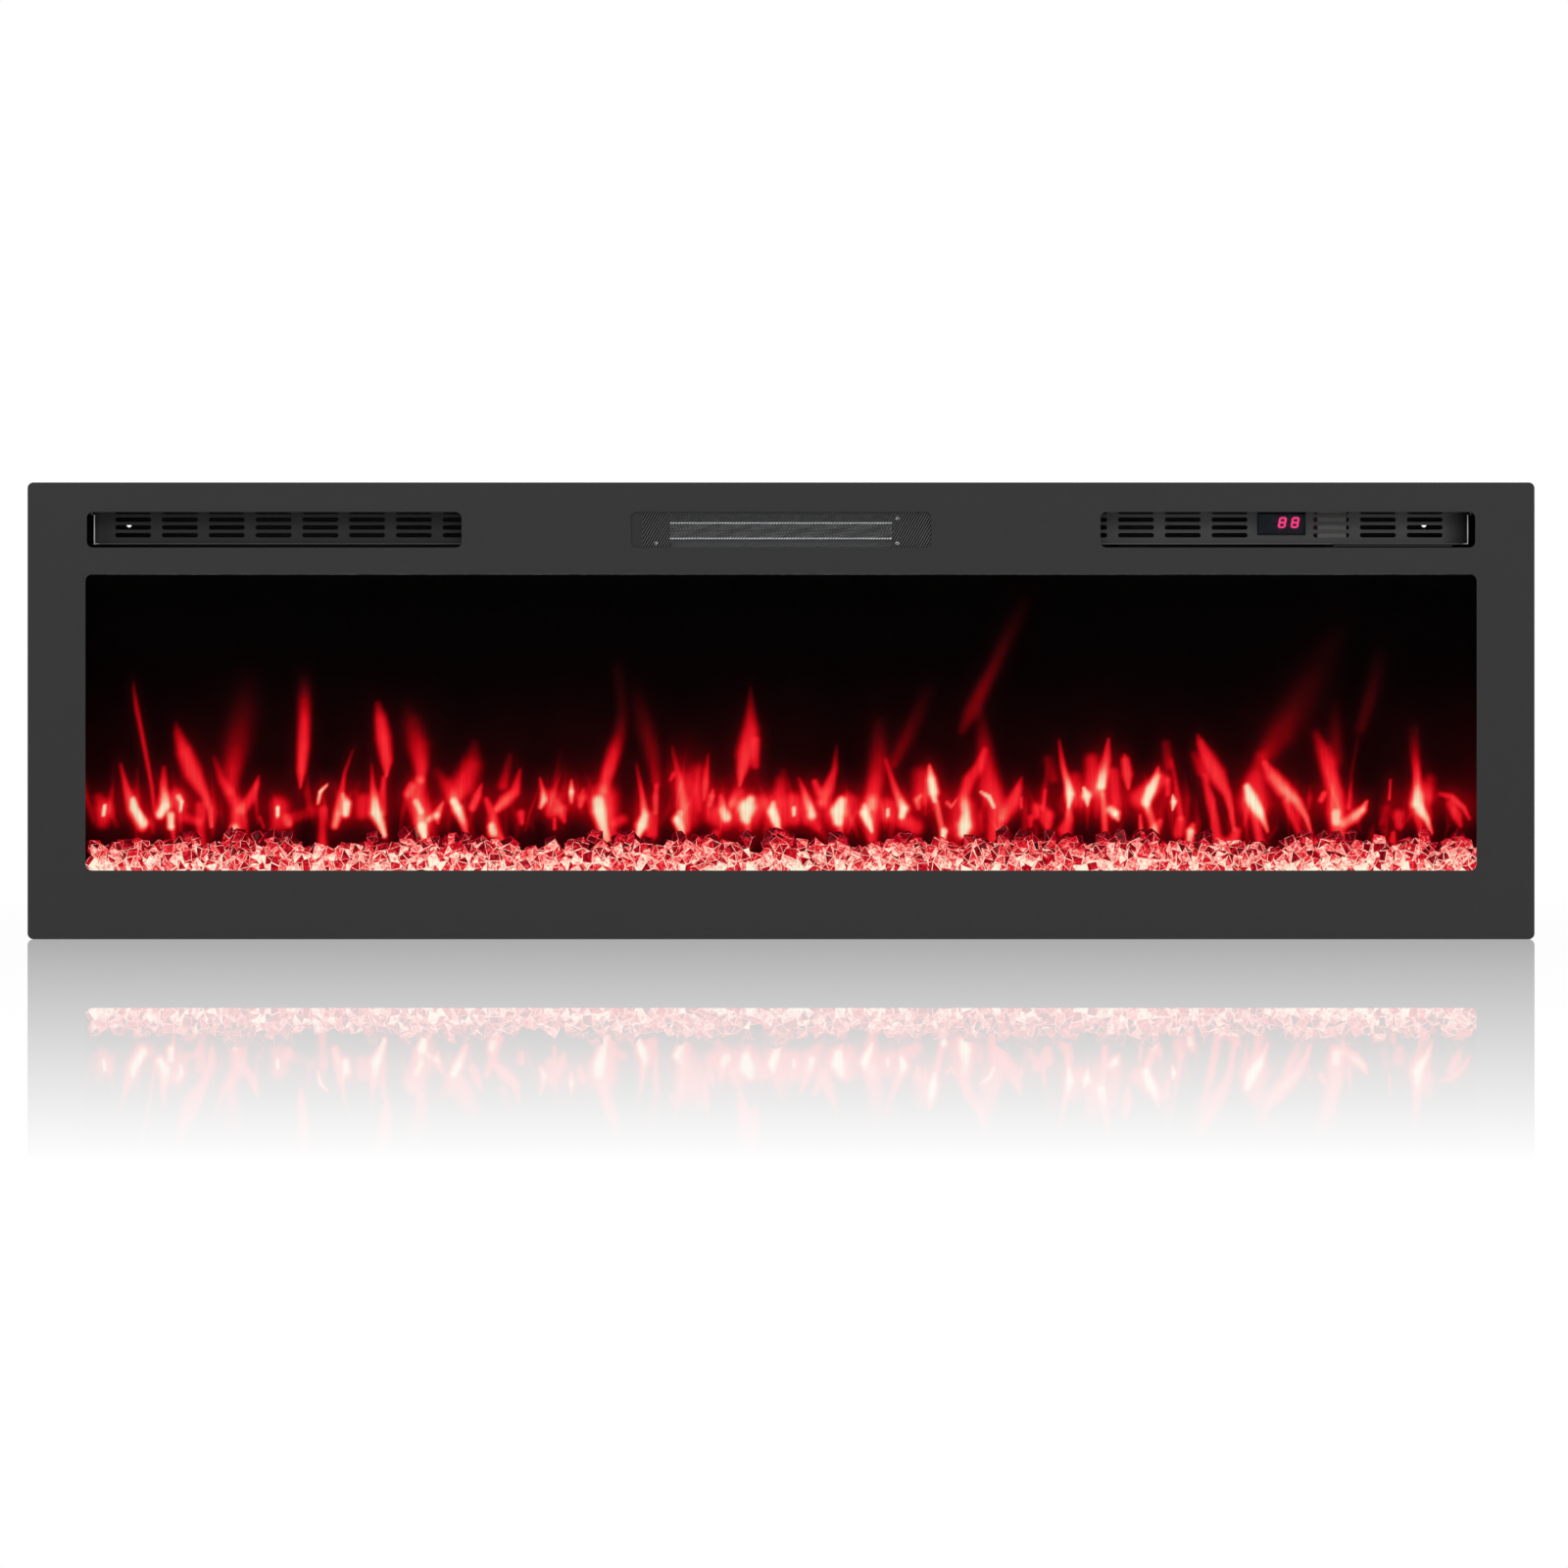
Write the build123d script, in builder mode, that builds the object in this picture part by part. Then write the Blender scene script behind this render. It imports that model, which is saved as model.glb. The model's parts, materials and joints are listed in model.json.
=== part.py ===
from build123d import *
import math
import os
import random

# Linear electric fireplace that hangs on or recesses into a wall, in millimetres.
# X runs to the right of someone facing it, +Y runs into the wall and +Z is up.
# The origin is the centre of the back panel's rear face, which lies on the wall.

# Front panel: a folded sheet with a window, two air vents and a heat outlet
panel_width = 1524.0
panel_height = 462.0
overall_depth = 140.0
panel_sheet = 1.5
panel_return = 25.0
panel_lip = 12.0
panel_corner = 6.0
panel_edge_round = 1.0
window_side_margin = 58.5
window_drop = 93.0
window_rise = 69.5
window_corner = 7.0
vent_height = 36.0
vent_drop = 30.0
vent_corner = 6.0
vent_length = 379.0
vent_inset = 60.0
outlet_length = 304.0

# Window glass and the clips that hold it
glass_thickness = 4.0
glass_overlap = 10.0
clip_width = 14.0
clip_reach = 6.0
clip_foot = 9.0
clip_sheet = 1.2
clip_gap = 0.5
clip_inset = 120.0
clips_per_edge = 4
side_clip_inset = 73.0

# Chassis: flat steel sheets joined by folded flanges
chassis_side_setback = 42.0
chassis_top_setback = 19.0
chassis_gap = 10.5
chassis_sheet = 1.0
chassis_flange = 12.0
front_flange = 7.0
flange_relief = 1.0
hang_hole_radius = 2.5
hang_hole_left_inset = 42.5
hang_hole_right_inset = 52.0
hang_hole_drop = 16.8
stud_hole_radius = 2.5
stud_hole_spread = 180.0
stud_hole_depth = 60.0
bead_width = 14.0
bead_depth = 0.6
bead_margin = 110.0
bead_pitch = 95.0
bead_rows = 4
bracket_sheet = 1.5
bracket_foot = 23.0
bracket_reach = 30.0
bracket_height = 40.0
bracket_drop = 82.0

# Screws of the chassis
screw_radius = 1.9
screw_head_radius = 3.6
screw_head_height = 2.2
screw_length = 8.0
screw_hole_gap = 0.15
screw_inset = 28.0
long_edge_screw_near = 200.0
long_edge_screw_far = 600.0

# Slotted vent plates behind the long vents
plate_recess = 9.0
plate_rise = 4.0
plate_end_gap = 5.6
plate_overlap = 32.0
plate_top_flange = 15.0
plate_end_flange = 30.0
slot_length = 36.6
slot_height = 4.7
slot_row_pitch = 7.88
slot_first_row = 9.6
slot_rows = 4
slot_pitch = 47.5
slot_edge = 1.0
left_slot_inset = 38.6
right_slot_inset = 42.9

# Firebox
ceiling_rise = 12.0
end_flange = 12.0
screen_thickness = 3.0
screen_setback = 48.5
screen_side_gap = 7.0
screen_fit = 0.2
rail_wall = 1.2
rail_depth = 15.0
rail_hide = 2.0
tray_drop = 3.5
tray_floor = 3.0
tray_lip = 2.0
tray_lip_hide = 1.0
tray_front_gap = 2.0
tray_side_gap = 0.5
tray_ledge = 7.0
crystal_pitch = 24.0
crystal_rows = 2
crystal_gap = 0.8
crystal_height = 28.0
crystal_height_spread = 9.0
crystal_seed = 7
light_board_sheet = 1.6
light_board_width = 14.0
light_board_end_gap = 16.0
board_gap = 2.0
lamp_size = 5.0
lamp_height = 1.6
lamp_pitch = 33.0

# Flame rotor: foils on a turning shaft that throw the lamps' light on the screen
rotor_behind_screen = 33.0
rotor_lift = 33.0
shaft_radius = 3.0
run_gap = 0.05
foil_radius = 20.0
foil_sheet = 0.6
foil_width = 8.0
foil_sleeve = 2.0
foil_pitch = 30.0
foil_turn = 137.5
foil_end_gap = 12.0
stand_sheet = 1.5
stand_width = 30.0
stand_foot = 15.0
stand_head = 12.0
stand_end_gap = 28.0
bush_wall = 2.0
bush_flange = 2.0
bush_length = 6.0
motor_radius = 24.0
motor_length = 20.0
motor_offset = 10.0
motor_boss_radius = 6.0
motor_boss_length = 4.0
motor_end_gap = 48.0
motor_bracket_head = 38.0
motor_bracket_width = 38.0
spindle_depth = 10.0
coupling_wall = 3.0
coupling_length = 24.0
coupling_gap = 2.0
mask_behind_screen = 5.0
mask_sheet = 0.8
mask_height = 71.0
mask_foot = 5.0
mask_slot_length = 40.0
mask_slot_width = 9.0
mask_slot_pitch = 46.0
mask_slot_lean = 78.0

# Heater and blower
mesh_sheet = 0.5
mesh_border = 6.0
mesh_plain_end = 12.0
mesh_pitch = 3.1
mesh_gap_width = 1.5
mesh_gap_lean = 60.0
mesh_rows = 3
mesh_tie = 1.0
duct_half_length = 140.0
duct_sheet = 1.0
duct_height = 36.0
duct_setback = 4.0
duct_depth = 32.0
duct_foot = 12.0
duct_mouth_flange = 16.0
element_length = 225.0
element_height = 17.2
element_depth = 16.0
element_setback = 2.0
element_bar = 1.5
element_core = 1.6
element_core_setback = 2.0
fin_pitch = 3.0
fin_sheet = 0.5
cap_screw_left = 127.0
cap_screw_right = 118.0
cap_screw_rise = 13.0
cap_screw_head = 2.4
cap_screw_head_height = 1.4
terminal_radius = 3.0
terminal_length = 7.0
terminal_spread = 6.0
wheel_radius = 23.0
wheel_length = 226.0
blade_count = 26
blade_width = 4.6
blade_sheet = 0.9
blade_tilt = 55.0
wheel_disc = 1.2
wheel_discs = 4
blower_behind_duct = 42.0
blower_lift = 3.0
scroll_gap = 4.0
scroll_sheet = 1.0
scroll_wrap = 150.0
scroll_mouth_gap = 0.5
end_plate_gap = 2.0
end_plate_sheet = 1.0
end_plate_reach = 30.0
end_plate_foot = 10.0
blower_bush_radius = 8.0
blower_bush_length = 7.0
blower_shaft_radius = 2.5
shaft_hole_radius = 4.0
hub_radius = 8.0
hub_length = 14.0
stator_width = 42.0
stator_height = 48.0
stator_length = 18.0
bridge_width = 40.0
bridge_height = 12.0
bridge_length = 5.0
coil_width = 28.0
coil_height = 14.0
coil_overhang = 4.0
bearing_cap_radius = 6.0
bearing_cap_length = 6.0
cutout_radius = 8.0
cutout_height = 5.0
cutout_flange = 1.0
cutout_tab = 2.0
cutout_x = 60.0

# Display and controls in the right vent
display_inset = 188.4
lens_width = 48.6
lens_height = 26.0
lens_rise = 10.0
lens_proud = 1.5
lens_back = 2.0
lens_fit = 0.1
digit_width = 9.5
digit_height = 11.0
digit_pitch = 13.0
digit_offset = 8.0
digit_drop = 0.3
digit_stroke = 1.6
digit_lean = 10.0
digit_lens_gap = 0.2
digit_depth = 5.0
display_board_sheet = 1.6
display_board_edge = 2.0
bracket_leg = 29.0
bracket_leg_gap = 12.5
bracket_leg_rise = 4.0
display_slot_gap = 10.0
strip_length = 120.0
strip_thickness = 3.0
strip_inset = 17.4
strip_front_gap = 2.0
strip_hold = 7.0
key_names = ("key_power", "key_flame", "key_light", "key_heat", "key_timer")
key_pitch = 22.0
key_length = 12.0
key_depth = 6.4
key_height = 1.4
key_fit = 0.2
key_room = 1.0
key_edge = 0.8

# Electronics, leads and mains inlet
board_sheet = 1.6
board_length = 180.0
board_depth = 80.0
board_lift = 7.0
board_post_radius = 3.0
board_post_inset = 6.0
board_from_duct = 72.0
transformer_size = (42.0, 36.0, 30.0)
relay_size = (19.0, 15.5, 15.5)
relay_pitch = 26.0
part_spacing = 20.0
lead_radius = 1.5
lead_bend = 10.0
lead_step = 12.0
gland_radius = 8.0
gland_bore = 3.75
gland_fit = 0.1
gland_flange = 11.0
gland_flange_length = 3.0
gland_nut_length = 5.0
gland_length = 18.0
gland_from_wall = 28.0
switch_from_wall = 66.0
switch_length = 26.0
switch_width = 14.0
switch_depth = 20.0
switch_bezel = 2.0
switch_wall = 1.8
switch_fit = 0.2
rocker_pivot_depth = 4.0
rocker_tip = 6.6
rocker_dip = 5.0
rocker_skirt = 2.5
rocker_root = 3.0
rocker_tilt = 8.0
rocker_side_gap = 0.3
rocker_end_gap = 1.6
rocker_pin = 1.2
rocker_pin_length = 0.7

# Openings of the front panel
window_width = panel_width - 2 * window_side_margin
window_height = panel_height - window_drop - window_rise
window_top = panel_height / 2 - window_drop
window_bottom = window_top - window_height
window_mid = (window_top + window_bottom) / 2
vent_top = panel_height / 2 - vent_drop
vent_bottom = vent_top - vent_height
vent_mid = (vent_top + vent_bottom) / 2
vent_outer = panel_width / 2 - vent_inset
vent_inner = vent_outer - vent_length
vent_x = (vent_outer + vent_inner) / 2

# Depth of each layer, front to back
front_y = -overall_depth
panel_back_y = front_y + panel_sheet
return_y = front_y + panel_return
glass_back_y = panel_back_y + glass_thickness
chassis_y = panel_back_y + chassis_gap
plate_y = chassis_y + plate_recess
plate_back_y = plate_y + chassis_sheet
screen_y = glass_back_y + screen_setback
screen_back_y = screen_y + screen_thickness

# Outside and inside of the chassis
chassis_half = panel_width / 2 - chassis_side_setback
chassis_top = panel_height / 2 - chassis_top_setback
inner_half = chassis_half - chassis_sheet
inner_top = chassis_top - chassis_sheet
flange_x = inner_half - chassis_flange
flange_half = flange_x - flange_relief
front_flange_x = inner_half - front_flange
flange_z = inner_top - chassis_sheet
ceiling_z = window_top + ceiling_rise
ceiling_top = ceiling_z + chassis_sheet
floor_z = -inner_top

# Firebox places
liner_x = front_flange_x - chassis_sheet
tray_top = window_bottom - tray_drop
tray_z = tray_top - tray_floor
tray_front_y = glass_back_y + tray_front_gap
tray_back_y = screen_y - screen_fit
rail_front_y = tray_back_y - rail_wall
rail_back_y = screen_back_y + screen_fit + rail_wall
rotor_y = screen_back_y + rotor_behind_screen
rotor_z = floor_z + rotor_lift
mask_y = screen_back_y + mask_behind_screen

# Places of the flame rotor's supports along X
stand_left_x = -flange_half + stand_end_gap
motor_plate_x = flange_half - motor_end_gap
motor_x = motor_plate_x + stand_sheet
coupling_x = motor_plate_x - motor_boss_length - coupling_length
shaft_end_x = coupling_x + (coupling_length - coupling_gap) / 2
spindle_x = shaft_end_x + coupling_gap
stand_right_x = coupling_x - stand_end_gap

# Vent plates, heater and blower places
plate_end = vent_outer - plate_end_gap
plate_inner = vent_inner - plate_overlap
plate_z = vent_bottom + plate_rise
display_x = plate_end - display_inset
duct_y = chassis_y + duct_setback
duct_back_y = duct_y + duct_depth
duct_z = vent_mid - duct_height / 2
duct_top = vent_mid + duct_height / 2
element_y = duct_y + element_setback
element_half = element_length / 2
wheel_half = wheel_length / 2
end_plate_x = wheel_half + end_plate_gap
motor_face_x = end_plate_x + end_plate_sheet
blower_y = duct_back_y + blower_behind_duct
scroll_radius = wheel_radius + scroll_gap
blower_z = ceiling_top + blower_lift + scroll_radius

# Places of the electronics
board_x = duct_half_length + board_from_duct
board_z = ceiling_top + board_lift
board_top = board_z + board_sheet
board_y = plate_back_y + board_gap
switch_y = -switch_from_wall
switch_z = (ceiling_top + inner_top) / 2
gland_y = -gland_from_wall
pivot_x = chassis_half - rocker_pivot_depth

# Turns that point a screw's head out of each face
head_right = (0, 90, 0)
head_left = (0, -90, 0)
head_up = (0, 0, 0)
head_down = (180, 0, 0)
head_front = (90, 0, 0)


def front_plane(y):
    """Plane across the fireplace at depth y, seen from the front."""
    return Plane.XZ.offset(-y)


def end_plane(x):
    """Plane across the fireplace's length at x, seen from its right end."""
    return Plane.YZ.offset(x)


def slab(low, high, mode=Mode.ADD):
    """Box between two corners, in the part being built."""
    size = [b - a for a, b in zip(low, high)]
    middle = Vector(*[(a + b) / 2 for a, b in zip(low, high)])
    with Locations(middle):
        Box(*size, mode=mode)


def rod(x_from, x_to, y, z, radius, mode=Mode.ADD):
    """Round bar along X, in the part being built."""
    with Locations(Location(((x_from + x_to) / 2, y, z), head_right)):
        Cylinder(radius, x_to - x_from, mode=mode)


def screw_holes(places):
    """Clearance holes for screws at the places, in the part being built."""
    with Locations(*places):
        Cylinder(screw_radius + screw_hole_gap, 2 * screw_length, mode=Mode.SUBTRACT)


def spread(first, last, pitch):
    """Evenly spaced values from first towards last, centred between the two."""
    count = int((last - first) / pitch) + 1
    start = (first + last - (count - 1) * pitch) / 2
    return [start + i * pitch for i in range(count)]


# Screw places, shared by the screws and by the sheets they pass through
long_edge_x = (-long_edge_screw_far, -long_edge_screw_near, long_edge_screw_near, long_edge_screw_far)
back_flange_y = -chassis_sheet - chassis_flange / 2
side_flange_x = inner_half - chassis_flange / 2
side_screw_y = (chassis_y + screw_inset, -screw_inset)
rail_flange_y = chassis_y + chassis_sheet + chassis_flange / 2
plate_flange_y = plate_y + plate_top_flange / 2
plate_screw_x = (plate_inner + screw_inset, plate_end - screw_inset)
bracket_z = (bracket_drop - chassis_top, 0, chassis_top - bracket_drop)
bracket_screw_y = panel_back_y + bracket_reach
top_back_screws = [Location((x, back_flange_y, chassis_top), head_up) for x in long_edge_x]
base_back_screws = [Location((x, back_flange_y, -chassis_top), head_down) for x in long_edge_x]
base_rail_screws = [Location((x, rail_flange_y, -chassis_top), head_down) for x in long_edge_x]
right_plate_screws = [Location((x, plate_flange_y, chassis_top), head_up) for x in plate_screw_x]
left_plate_screws = [Location((-x, plate_flange_y, chassis_top), head_up) for x in plate_screw_x]
ceiling_screw_z = ceiling_top + end_flange / 2
bracket_x = chassis_half + bracket_sheet
right_side_screws = (
    [Location((side_flange_x, y, chassis_top), head_up) for y in side_screw_y]
    + [Location((side_flange_x, y, -chassis_top), head_down) for y in side_screw_y]
)
left_side_screws = (
    [Location((-side_flange_x, y, chassis_top), head_up) for y in side_screw_y]
    + [Location((-side_flange_x, y, -chassis_top), head_down) for y in side_screw_y]
)
right_end_screws = [Location((chassis_half, y, ceiling_screw_z), head_right) for y in side_screw_y]
left_end_screws = [Location((-chassis_half, y, ceiling_screw_z), head_left) for y in side_screw_y]
right_bracket_screws = [Location((bracket_x, bracket_screw_y, z), head_right) for z in bracket_z]
left_bracket_screws = [Location((-bracket_x, bracket_screw_y, z), head_left) for z in bracket_z]

# Front panel: a shallow pan with a lip folded in at the back of its edges
with BuildPart() as front_panel:
    with BuildSketch(front_plane(front_y)):
        RectangleRounded(panel_width, panel_height, panel_corner)
    extrude(amount=-panel_return)
    with BuildSketch(front_plane(panel_back_y)):
        RectangleRounded(
            panel_width - 2 * panel_sheet,
            panel_height - 2 * panel_sheet,
            panel_corner - panel_sheet,
        )
    extrude(amount=-(panel_return - 2 * panel_sheet), mode=Mode.SUBTRACT)
    with BuildSketch(front_plane(return_y)):
        Rectangle(panel_width - 2 * panel_lip, panel_height - 2 * panel_lip)
    extrude(amount=panel_sheet, mode=Mode.SUBTRACT)
    fillet(front_panel.faces().sort_by(Axis.Y)[0].outer_wire().edges(), panel_edge_round)
    with BuildSketch(front_plane(front_y)):
        with Locations((0, window_mid)):
            RectangleRounded(window_width, window_height, window_corner)
        with Locations((-vent_x, vent_mid), (vent_x, vent_mid)):
            RectangleRounded(vent_length, vent_height, vent_corner)
        with Locations((0, vent_mid)):
            RectangleRounded(outlet_length, vent_height, vent_corner)
    extrude(amount=-panel_sheet, mode=Mode.SUBTRACT)

# Window glass, held against the back of the panel
glass_half = window_width / 2 + glass_overlap
glass_top = window_top + glass_overlap
glass_bottom = window_bottom - glass_overlap
with BuildPart() as window_glass:
    with BuildSketch(front_plane(panel_back_y)):
        with Locations((0, window_mid)):
            RectangleRounded(
                window_width + 2 * glass_overlap,
                window_height + 2 * glass_overlap,
                window_corner,
            )
    extrude(amount=-glass_thickness)

# Clips: a foot on the panel beside the glass and a tongue over its edge
clip_span = 2 * (glass_half - clip_inset)
clip_x = [-clip_span / 2 + i * clip_span / (clips_per_edge - 1) for i in range(clips_per_edge)]
tongue_y = glass_back_y + clip_sheet
with BuildPart() as glass_clips:
    for x in clip_x:
        low_x = x - clip_width / 2
        high_x = x + clip_width / 2
        slab((low_x, panel_back_y, glass_top + clip_gap), (high_x, tongue_y, glass_top + clip_foot))
        slab((low_x, glass_back_y, glass_top - clip_reach), (high_x, tongue_y, glass_top + clip_foot))
        slab((low_x, panel_back_y, glass_bottom - clip_foot), (high_x, tongue_y, glass_bottom - clip_gap))
        slab((low_x, glass_back_y, glass_bottom - clip_foot), (high_x, tongue_y, glass_bottom + clip_reach))
    for z in (glass_bottom + side_clip_inset, glass_top - side_clip_inset):
        low_z = z - clip_width / 2
        high_z = z + clip_width / 2
        slab((glass_half + clip_gap, panel_back_y, low_z), (glass_half + clip_foot, tongue_y, high_z))
        slab((glass_half - clip_reach, glass_back_y, low_z), (glass_half + clip_foot, tongue_y, high_z))
        slab((-glass_half - clip_foot, panel_back_y, low_z), (-glass_half - clip_gap, tongue_y, high_z))
        slab((-glass_half - clip_foot, glass_back_y, low_z), (-glass_half + clip_reach, tongue_y, high_z))

# Brackets: one leg welded to the back of the panel, the other screwed to the chassis side
with BuildPart() as panel_brackets:
    for z in bracket_z:
        low_z = z - bracket_height / 2
        high_z = z + bracket_height / 2
        slab(
            (chassis_half, panel_back_y, low_z),
            (bracket_x, bracket_screw_y + screw_hole_gap + 2 * screw_head_radius, high_z),
        )
        slab(
            (chassis_half, panel_back_y, low_z),
            (chassis_half + bracket_foot, panel_back_y + bracket_sheet, high_z),
        )
    screw_holes(right_bracket_screws)
    mirror(about=Plane.YZ)

# Chassis sheets
with BuildPart() as top_cover:
    slab((-chassis_half, chassis_y, inner_top), (chassis_half, 0, chassis_top))
    screw_holes(top_back_screws + right_plate_screws + left_plate_screws)
    screw_holes(right_side_screws + left_side_screws)

with BuildPart() as base_pan:
    slab((-chassis_half, chassis_y, -chassis_top), (chassis_half, 0, -inner_top))
    screw_holes(base_back_screws + base_rail_screws)
    screw_holes(right_side_screws + left_side_screws)

stud_places = [
    Location((chassis_half, -stud_hole_depth, z), head_right)
    for z in (-stud_hole_spread / 2, stud_hole_spread / 2)
]
with BuildPart() as right_side_panel:
    slab((inner_half, chassis_y, -inner_top), (chassis_half, 0, inner_top))
    slab((front_flange_x, chassis_y, -inner_top), (inner_half, chassis_y + chassis_sheet, inner_top))
    slab((flange_x, -2 * chassis_sheet, -inner_top), (inner_half, -chassis_sheet, inner_top))
    slab((flange_x, chassis_y, flange_z), (inner_half, -chassis_sheet, inner_top))
    slab((flange_x, chassis_y, -inner_top), (inner_half, -chassis_sheet, -flange_z))
    screw_holes(right_side_screws + right_end_screws + right_bracket_screws)
    with Locations(*stud_places):
        Cylinder(stud_hole_radius, 2 * screw_length, mode=Mode.SUBTRACT)
    rod(inner_half, chassis_half, gland_y, switch_z, gland_radius + gland_fit, mode=Mode.SUBTRACT)
    slab(
        (inner_half, switch_y - switch_length / 2 - switch_fit, switch_z - switch_width / 2 - switch_fit),
        (chassis_half, switch_y + switch_length / 2 + switch_fit, switch_z + switch_width / 2 + switch_fit),
        mode=Mode.SUBTRACT,
    )

with BuildPart() as left_side_panel:
    slab((-chassis_half, chassis_y, -inner_top), (-inner_half, 0, inner_top))
    slab((-inner_half, chassis_y, -inner_top), (-front_flange_x, chassis_y + chassis_sheet, inner_top))
    slab((-inner_half, -2 * chassis_sheet, -inner_top), (-flange_x, -chassis_sheet, inner_top))
    slab((-inner_half, chassis_y, flange_z), (-flange_x, -chassis_sheet, inner_top))
    slab((-inner_half, chassis_y, -inner_top), (-flange_x, -chassis_sheet, -flange_z))
    screw_holes(left_side_screws + left_end_screws + left_bracket_screws)
    with Locations(*[Location((-chassis_half, p.position.Y, p.position.Z), head_left) for p in stud_places]):
        Cylinder(stud_hole_radius, 2 * screw_length, mode=Mode.SUBTRACT)

# Back panel, with stiffening beads pressed forward and the two wall screw holes
bead_length = 2 * (chassis_half - bead_margin)
hang_left_x = hang_hole_left_inset - chassis_half
hang_right_x = chassis_half - hang_hole_right_inset
hang_z = chassis_top - hang_hole_drop
with BuildPart() as back_panel:
    slab((-inner_half, -chassis_sheet, -inner_top), (inner_half, 0, inner_top))
    back_fold_y = -chassis_sheet - chassis_flange
    slab((-flange_half, back_fold_y, flange_z), (flange_half, -chassis_sheet, inner_top))
    slab((-flange_half, back_fold_y, -inner_top), (flange_half, -chassis_sheet, -flange_z))
    with BuildSketch(front_plane(-chassis_sheet)):
        with GridLocations(0, bead_pitch, 1, bead_rows):
            SlotOverall(bead_length, bead_width)
    extrude(amount=bead_depth)
    with BuildSketch(front_plane(0)):
        with GridLocations(0, bead_pitch, 1, bead_rows):
            SlotOverall(bead_length - 2 * chassis_sheet, bead_width - 2 * chassis_sheet)
    extrude(amount=bead_depth, mode=Mode.SUBTRACT)
    with BuildSketch(front_plane(0)):
        with Locations((hang_left_x, hang_z), (hang_right_x, hang_z)):
            Circle(hang_hole_radius)
    extrude(amount=chassis_sheet, mode=Mode.SUBTRACT)
    screw_holes(top_back_screws + base_back_screws)

# Vent plates: slotted faces with flanges folded forward at the bottom and at the outer end
slot_column_room = plate_end - plate_inner - slot_length / 2 - slot_edge
slot_z = [plate_z + slot_first_row + row * slot_row_pitch for row in range(slot_rows)]
left_columns = int((slot_column_room - left_slot_inset) / slot_pitch) + 1
left_slot_x = [-plate_end + left_slot_inset + i * slot_pitch for i in range(left_columns)]
with BuildPart() as vent_plate_left:
    slab((-plate_end, plate_y, plate_z), (-plate_inner, plate_back_y, inner_top))
    slab((-plate_end, chassis_y, plate_z), (-plate_end + chassis_sheet, plate_y, plate_z + plate_end_flange))
    slab((-plate_end, chassis_y, plate_z), (-plate_inner, plate_y, plate_z + chassis_sheet))
    slab((-plate_end, plate_y, flange_z), (-plate_inner, plate_y + plate_top_flange, inner_top))
    with BuildSketch(front_plane(plate_y)):
        with Locations(*[(x, z) for x in left_slot_x for z in slot_z]):
            SlotOverall(slot_length, slot_height)
    extrude(amount=-chassis_sheet, mode=Mode.SUBTRACT)
    screw_holes(left_plate_screws)

lens_z = plate_z + lens_rise + lens_height / 2
outer_slot_x = [plate_end - right_slot_inset - i * slot_pitch for i in range(3)]
inner_slot_start = display_x - lens_width / 2 - display_slot_gap - slot_length / 2
inner_columns = int((inner_slot_start - plate_inner - slot_length / 2 - slot_edge) / slot_pitch) + 1
inner_slot_x = [inner_slot_start - i * slot_pitch for i in range(inner_columns)]
with BuildPart() as vent_plate_right:
    slab((plate_inner, plate_y, plate_z), (plate_end, plate_back_y, inner_top))
    slab((plate_end - chassis_sheet, chassis_y, plate_z), (plate_end, plate_y, plate_z + plate_end_flange))
    slab((plate_inner, chassis_y, plate_z), (plate_end, plate_y, plate_z + chassis_sheet))
    slab((plate_inner, plate_y, flange_z), (plate_end, plate_y + plate_top_flange, inner_top))
    with BuildSketch(front_plane(plate_y)):
        with Locations(*[(x, z) for x in outer_slot_x + inner_slot_x for z in slot_z]):
            SlotOverall(slot_length, slot_height)
        with Locations((display_x, lens_z)):
            Rectangle(lens_width + 2 * lens_fit, lens_height + 2 * lens_fit)
    extrude(amount=-chassis_sheet, mode=Mode.SUBTRACT)
    screw_holes(right_plate_screws)

# Firebox ceiling, which is also the floor of the heater compartment
board_post_x = (board_x + board_post_inset, board_x + board_length - board_post_inset)
board_post_y = (board_y + board_post_inset, board_y + board_depth - board_post_inset)
with BuildPart() as firebox_ceiling:
    slab((-inner_half, chassis_y + chassis_sheet, ceiling_z), (inner_half, -2 * chassis_sheet, ceiling_top))
    for side in (-1, 1):
        low_x = min(side * inner_half, side * (inner_half - chassis_sheet))
        slab(
            (low_x, chassis_y + chassis_sheet, ceiling_top),
            (low_x + chassis_sheet, -2 * chassis_sheet, ceiling_top + end_flange),
        )
    with Locations(*[(x, y, ceiling_top) for x in board_post_x for y in board_post_y]):
        Cylinder(board_post_radius, board_lift, align=(Align.CENTER, Align.CENTER, Align.MIN))
    screw_holes(right_end_screws + left_end_screws)

# Liners: the black side walls of the firebox
with BuildPart() as side_liners:
    slab((liner_x, chassis_y, tray_z), (front_flange_x, screen_y, ceiling_z))
    slab((-front_flange_x, chassis_y, tray_z), (-liner_x, screen_y, ceiling_z))

# Lower rail: closes the lamp space under the window and carries the tray's front edge
rail_y = chassis_y + chassis_sheet
with BuildPart() as lower_rail:
    slab((-flange_half, rail_y, floor_z), (flange_half, rail_y + chassis_sheet, tray_z))
    slab((-flange_half, rail_y, tray_z - chassis_sheet), (flange_half, rail_y + tray_ledge, tray_z))
    slab((-flange_half, rail_y, floor_z), (flange_half, rail_y + chassis_flange, floor_z + chassis_sheet))
    screw_holes(base_rail_screws)

# Flame screen in its two channels
screen_half = inner_half - screen_side_gap
screen_low = floor_z + rail_wall
screen_high = ceiling_z - rail_wall - screen_fit
with BuildPart() as flame_screen:
    slab((-screen_half, screen_y, screen_low), (screen_half, screen_back_y, screen_high))

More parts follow.
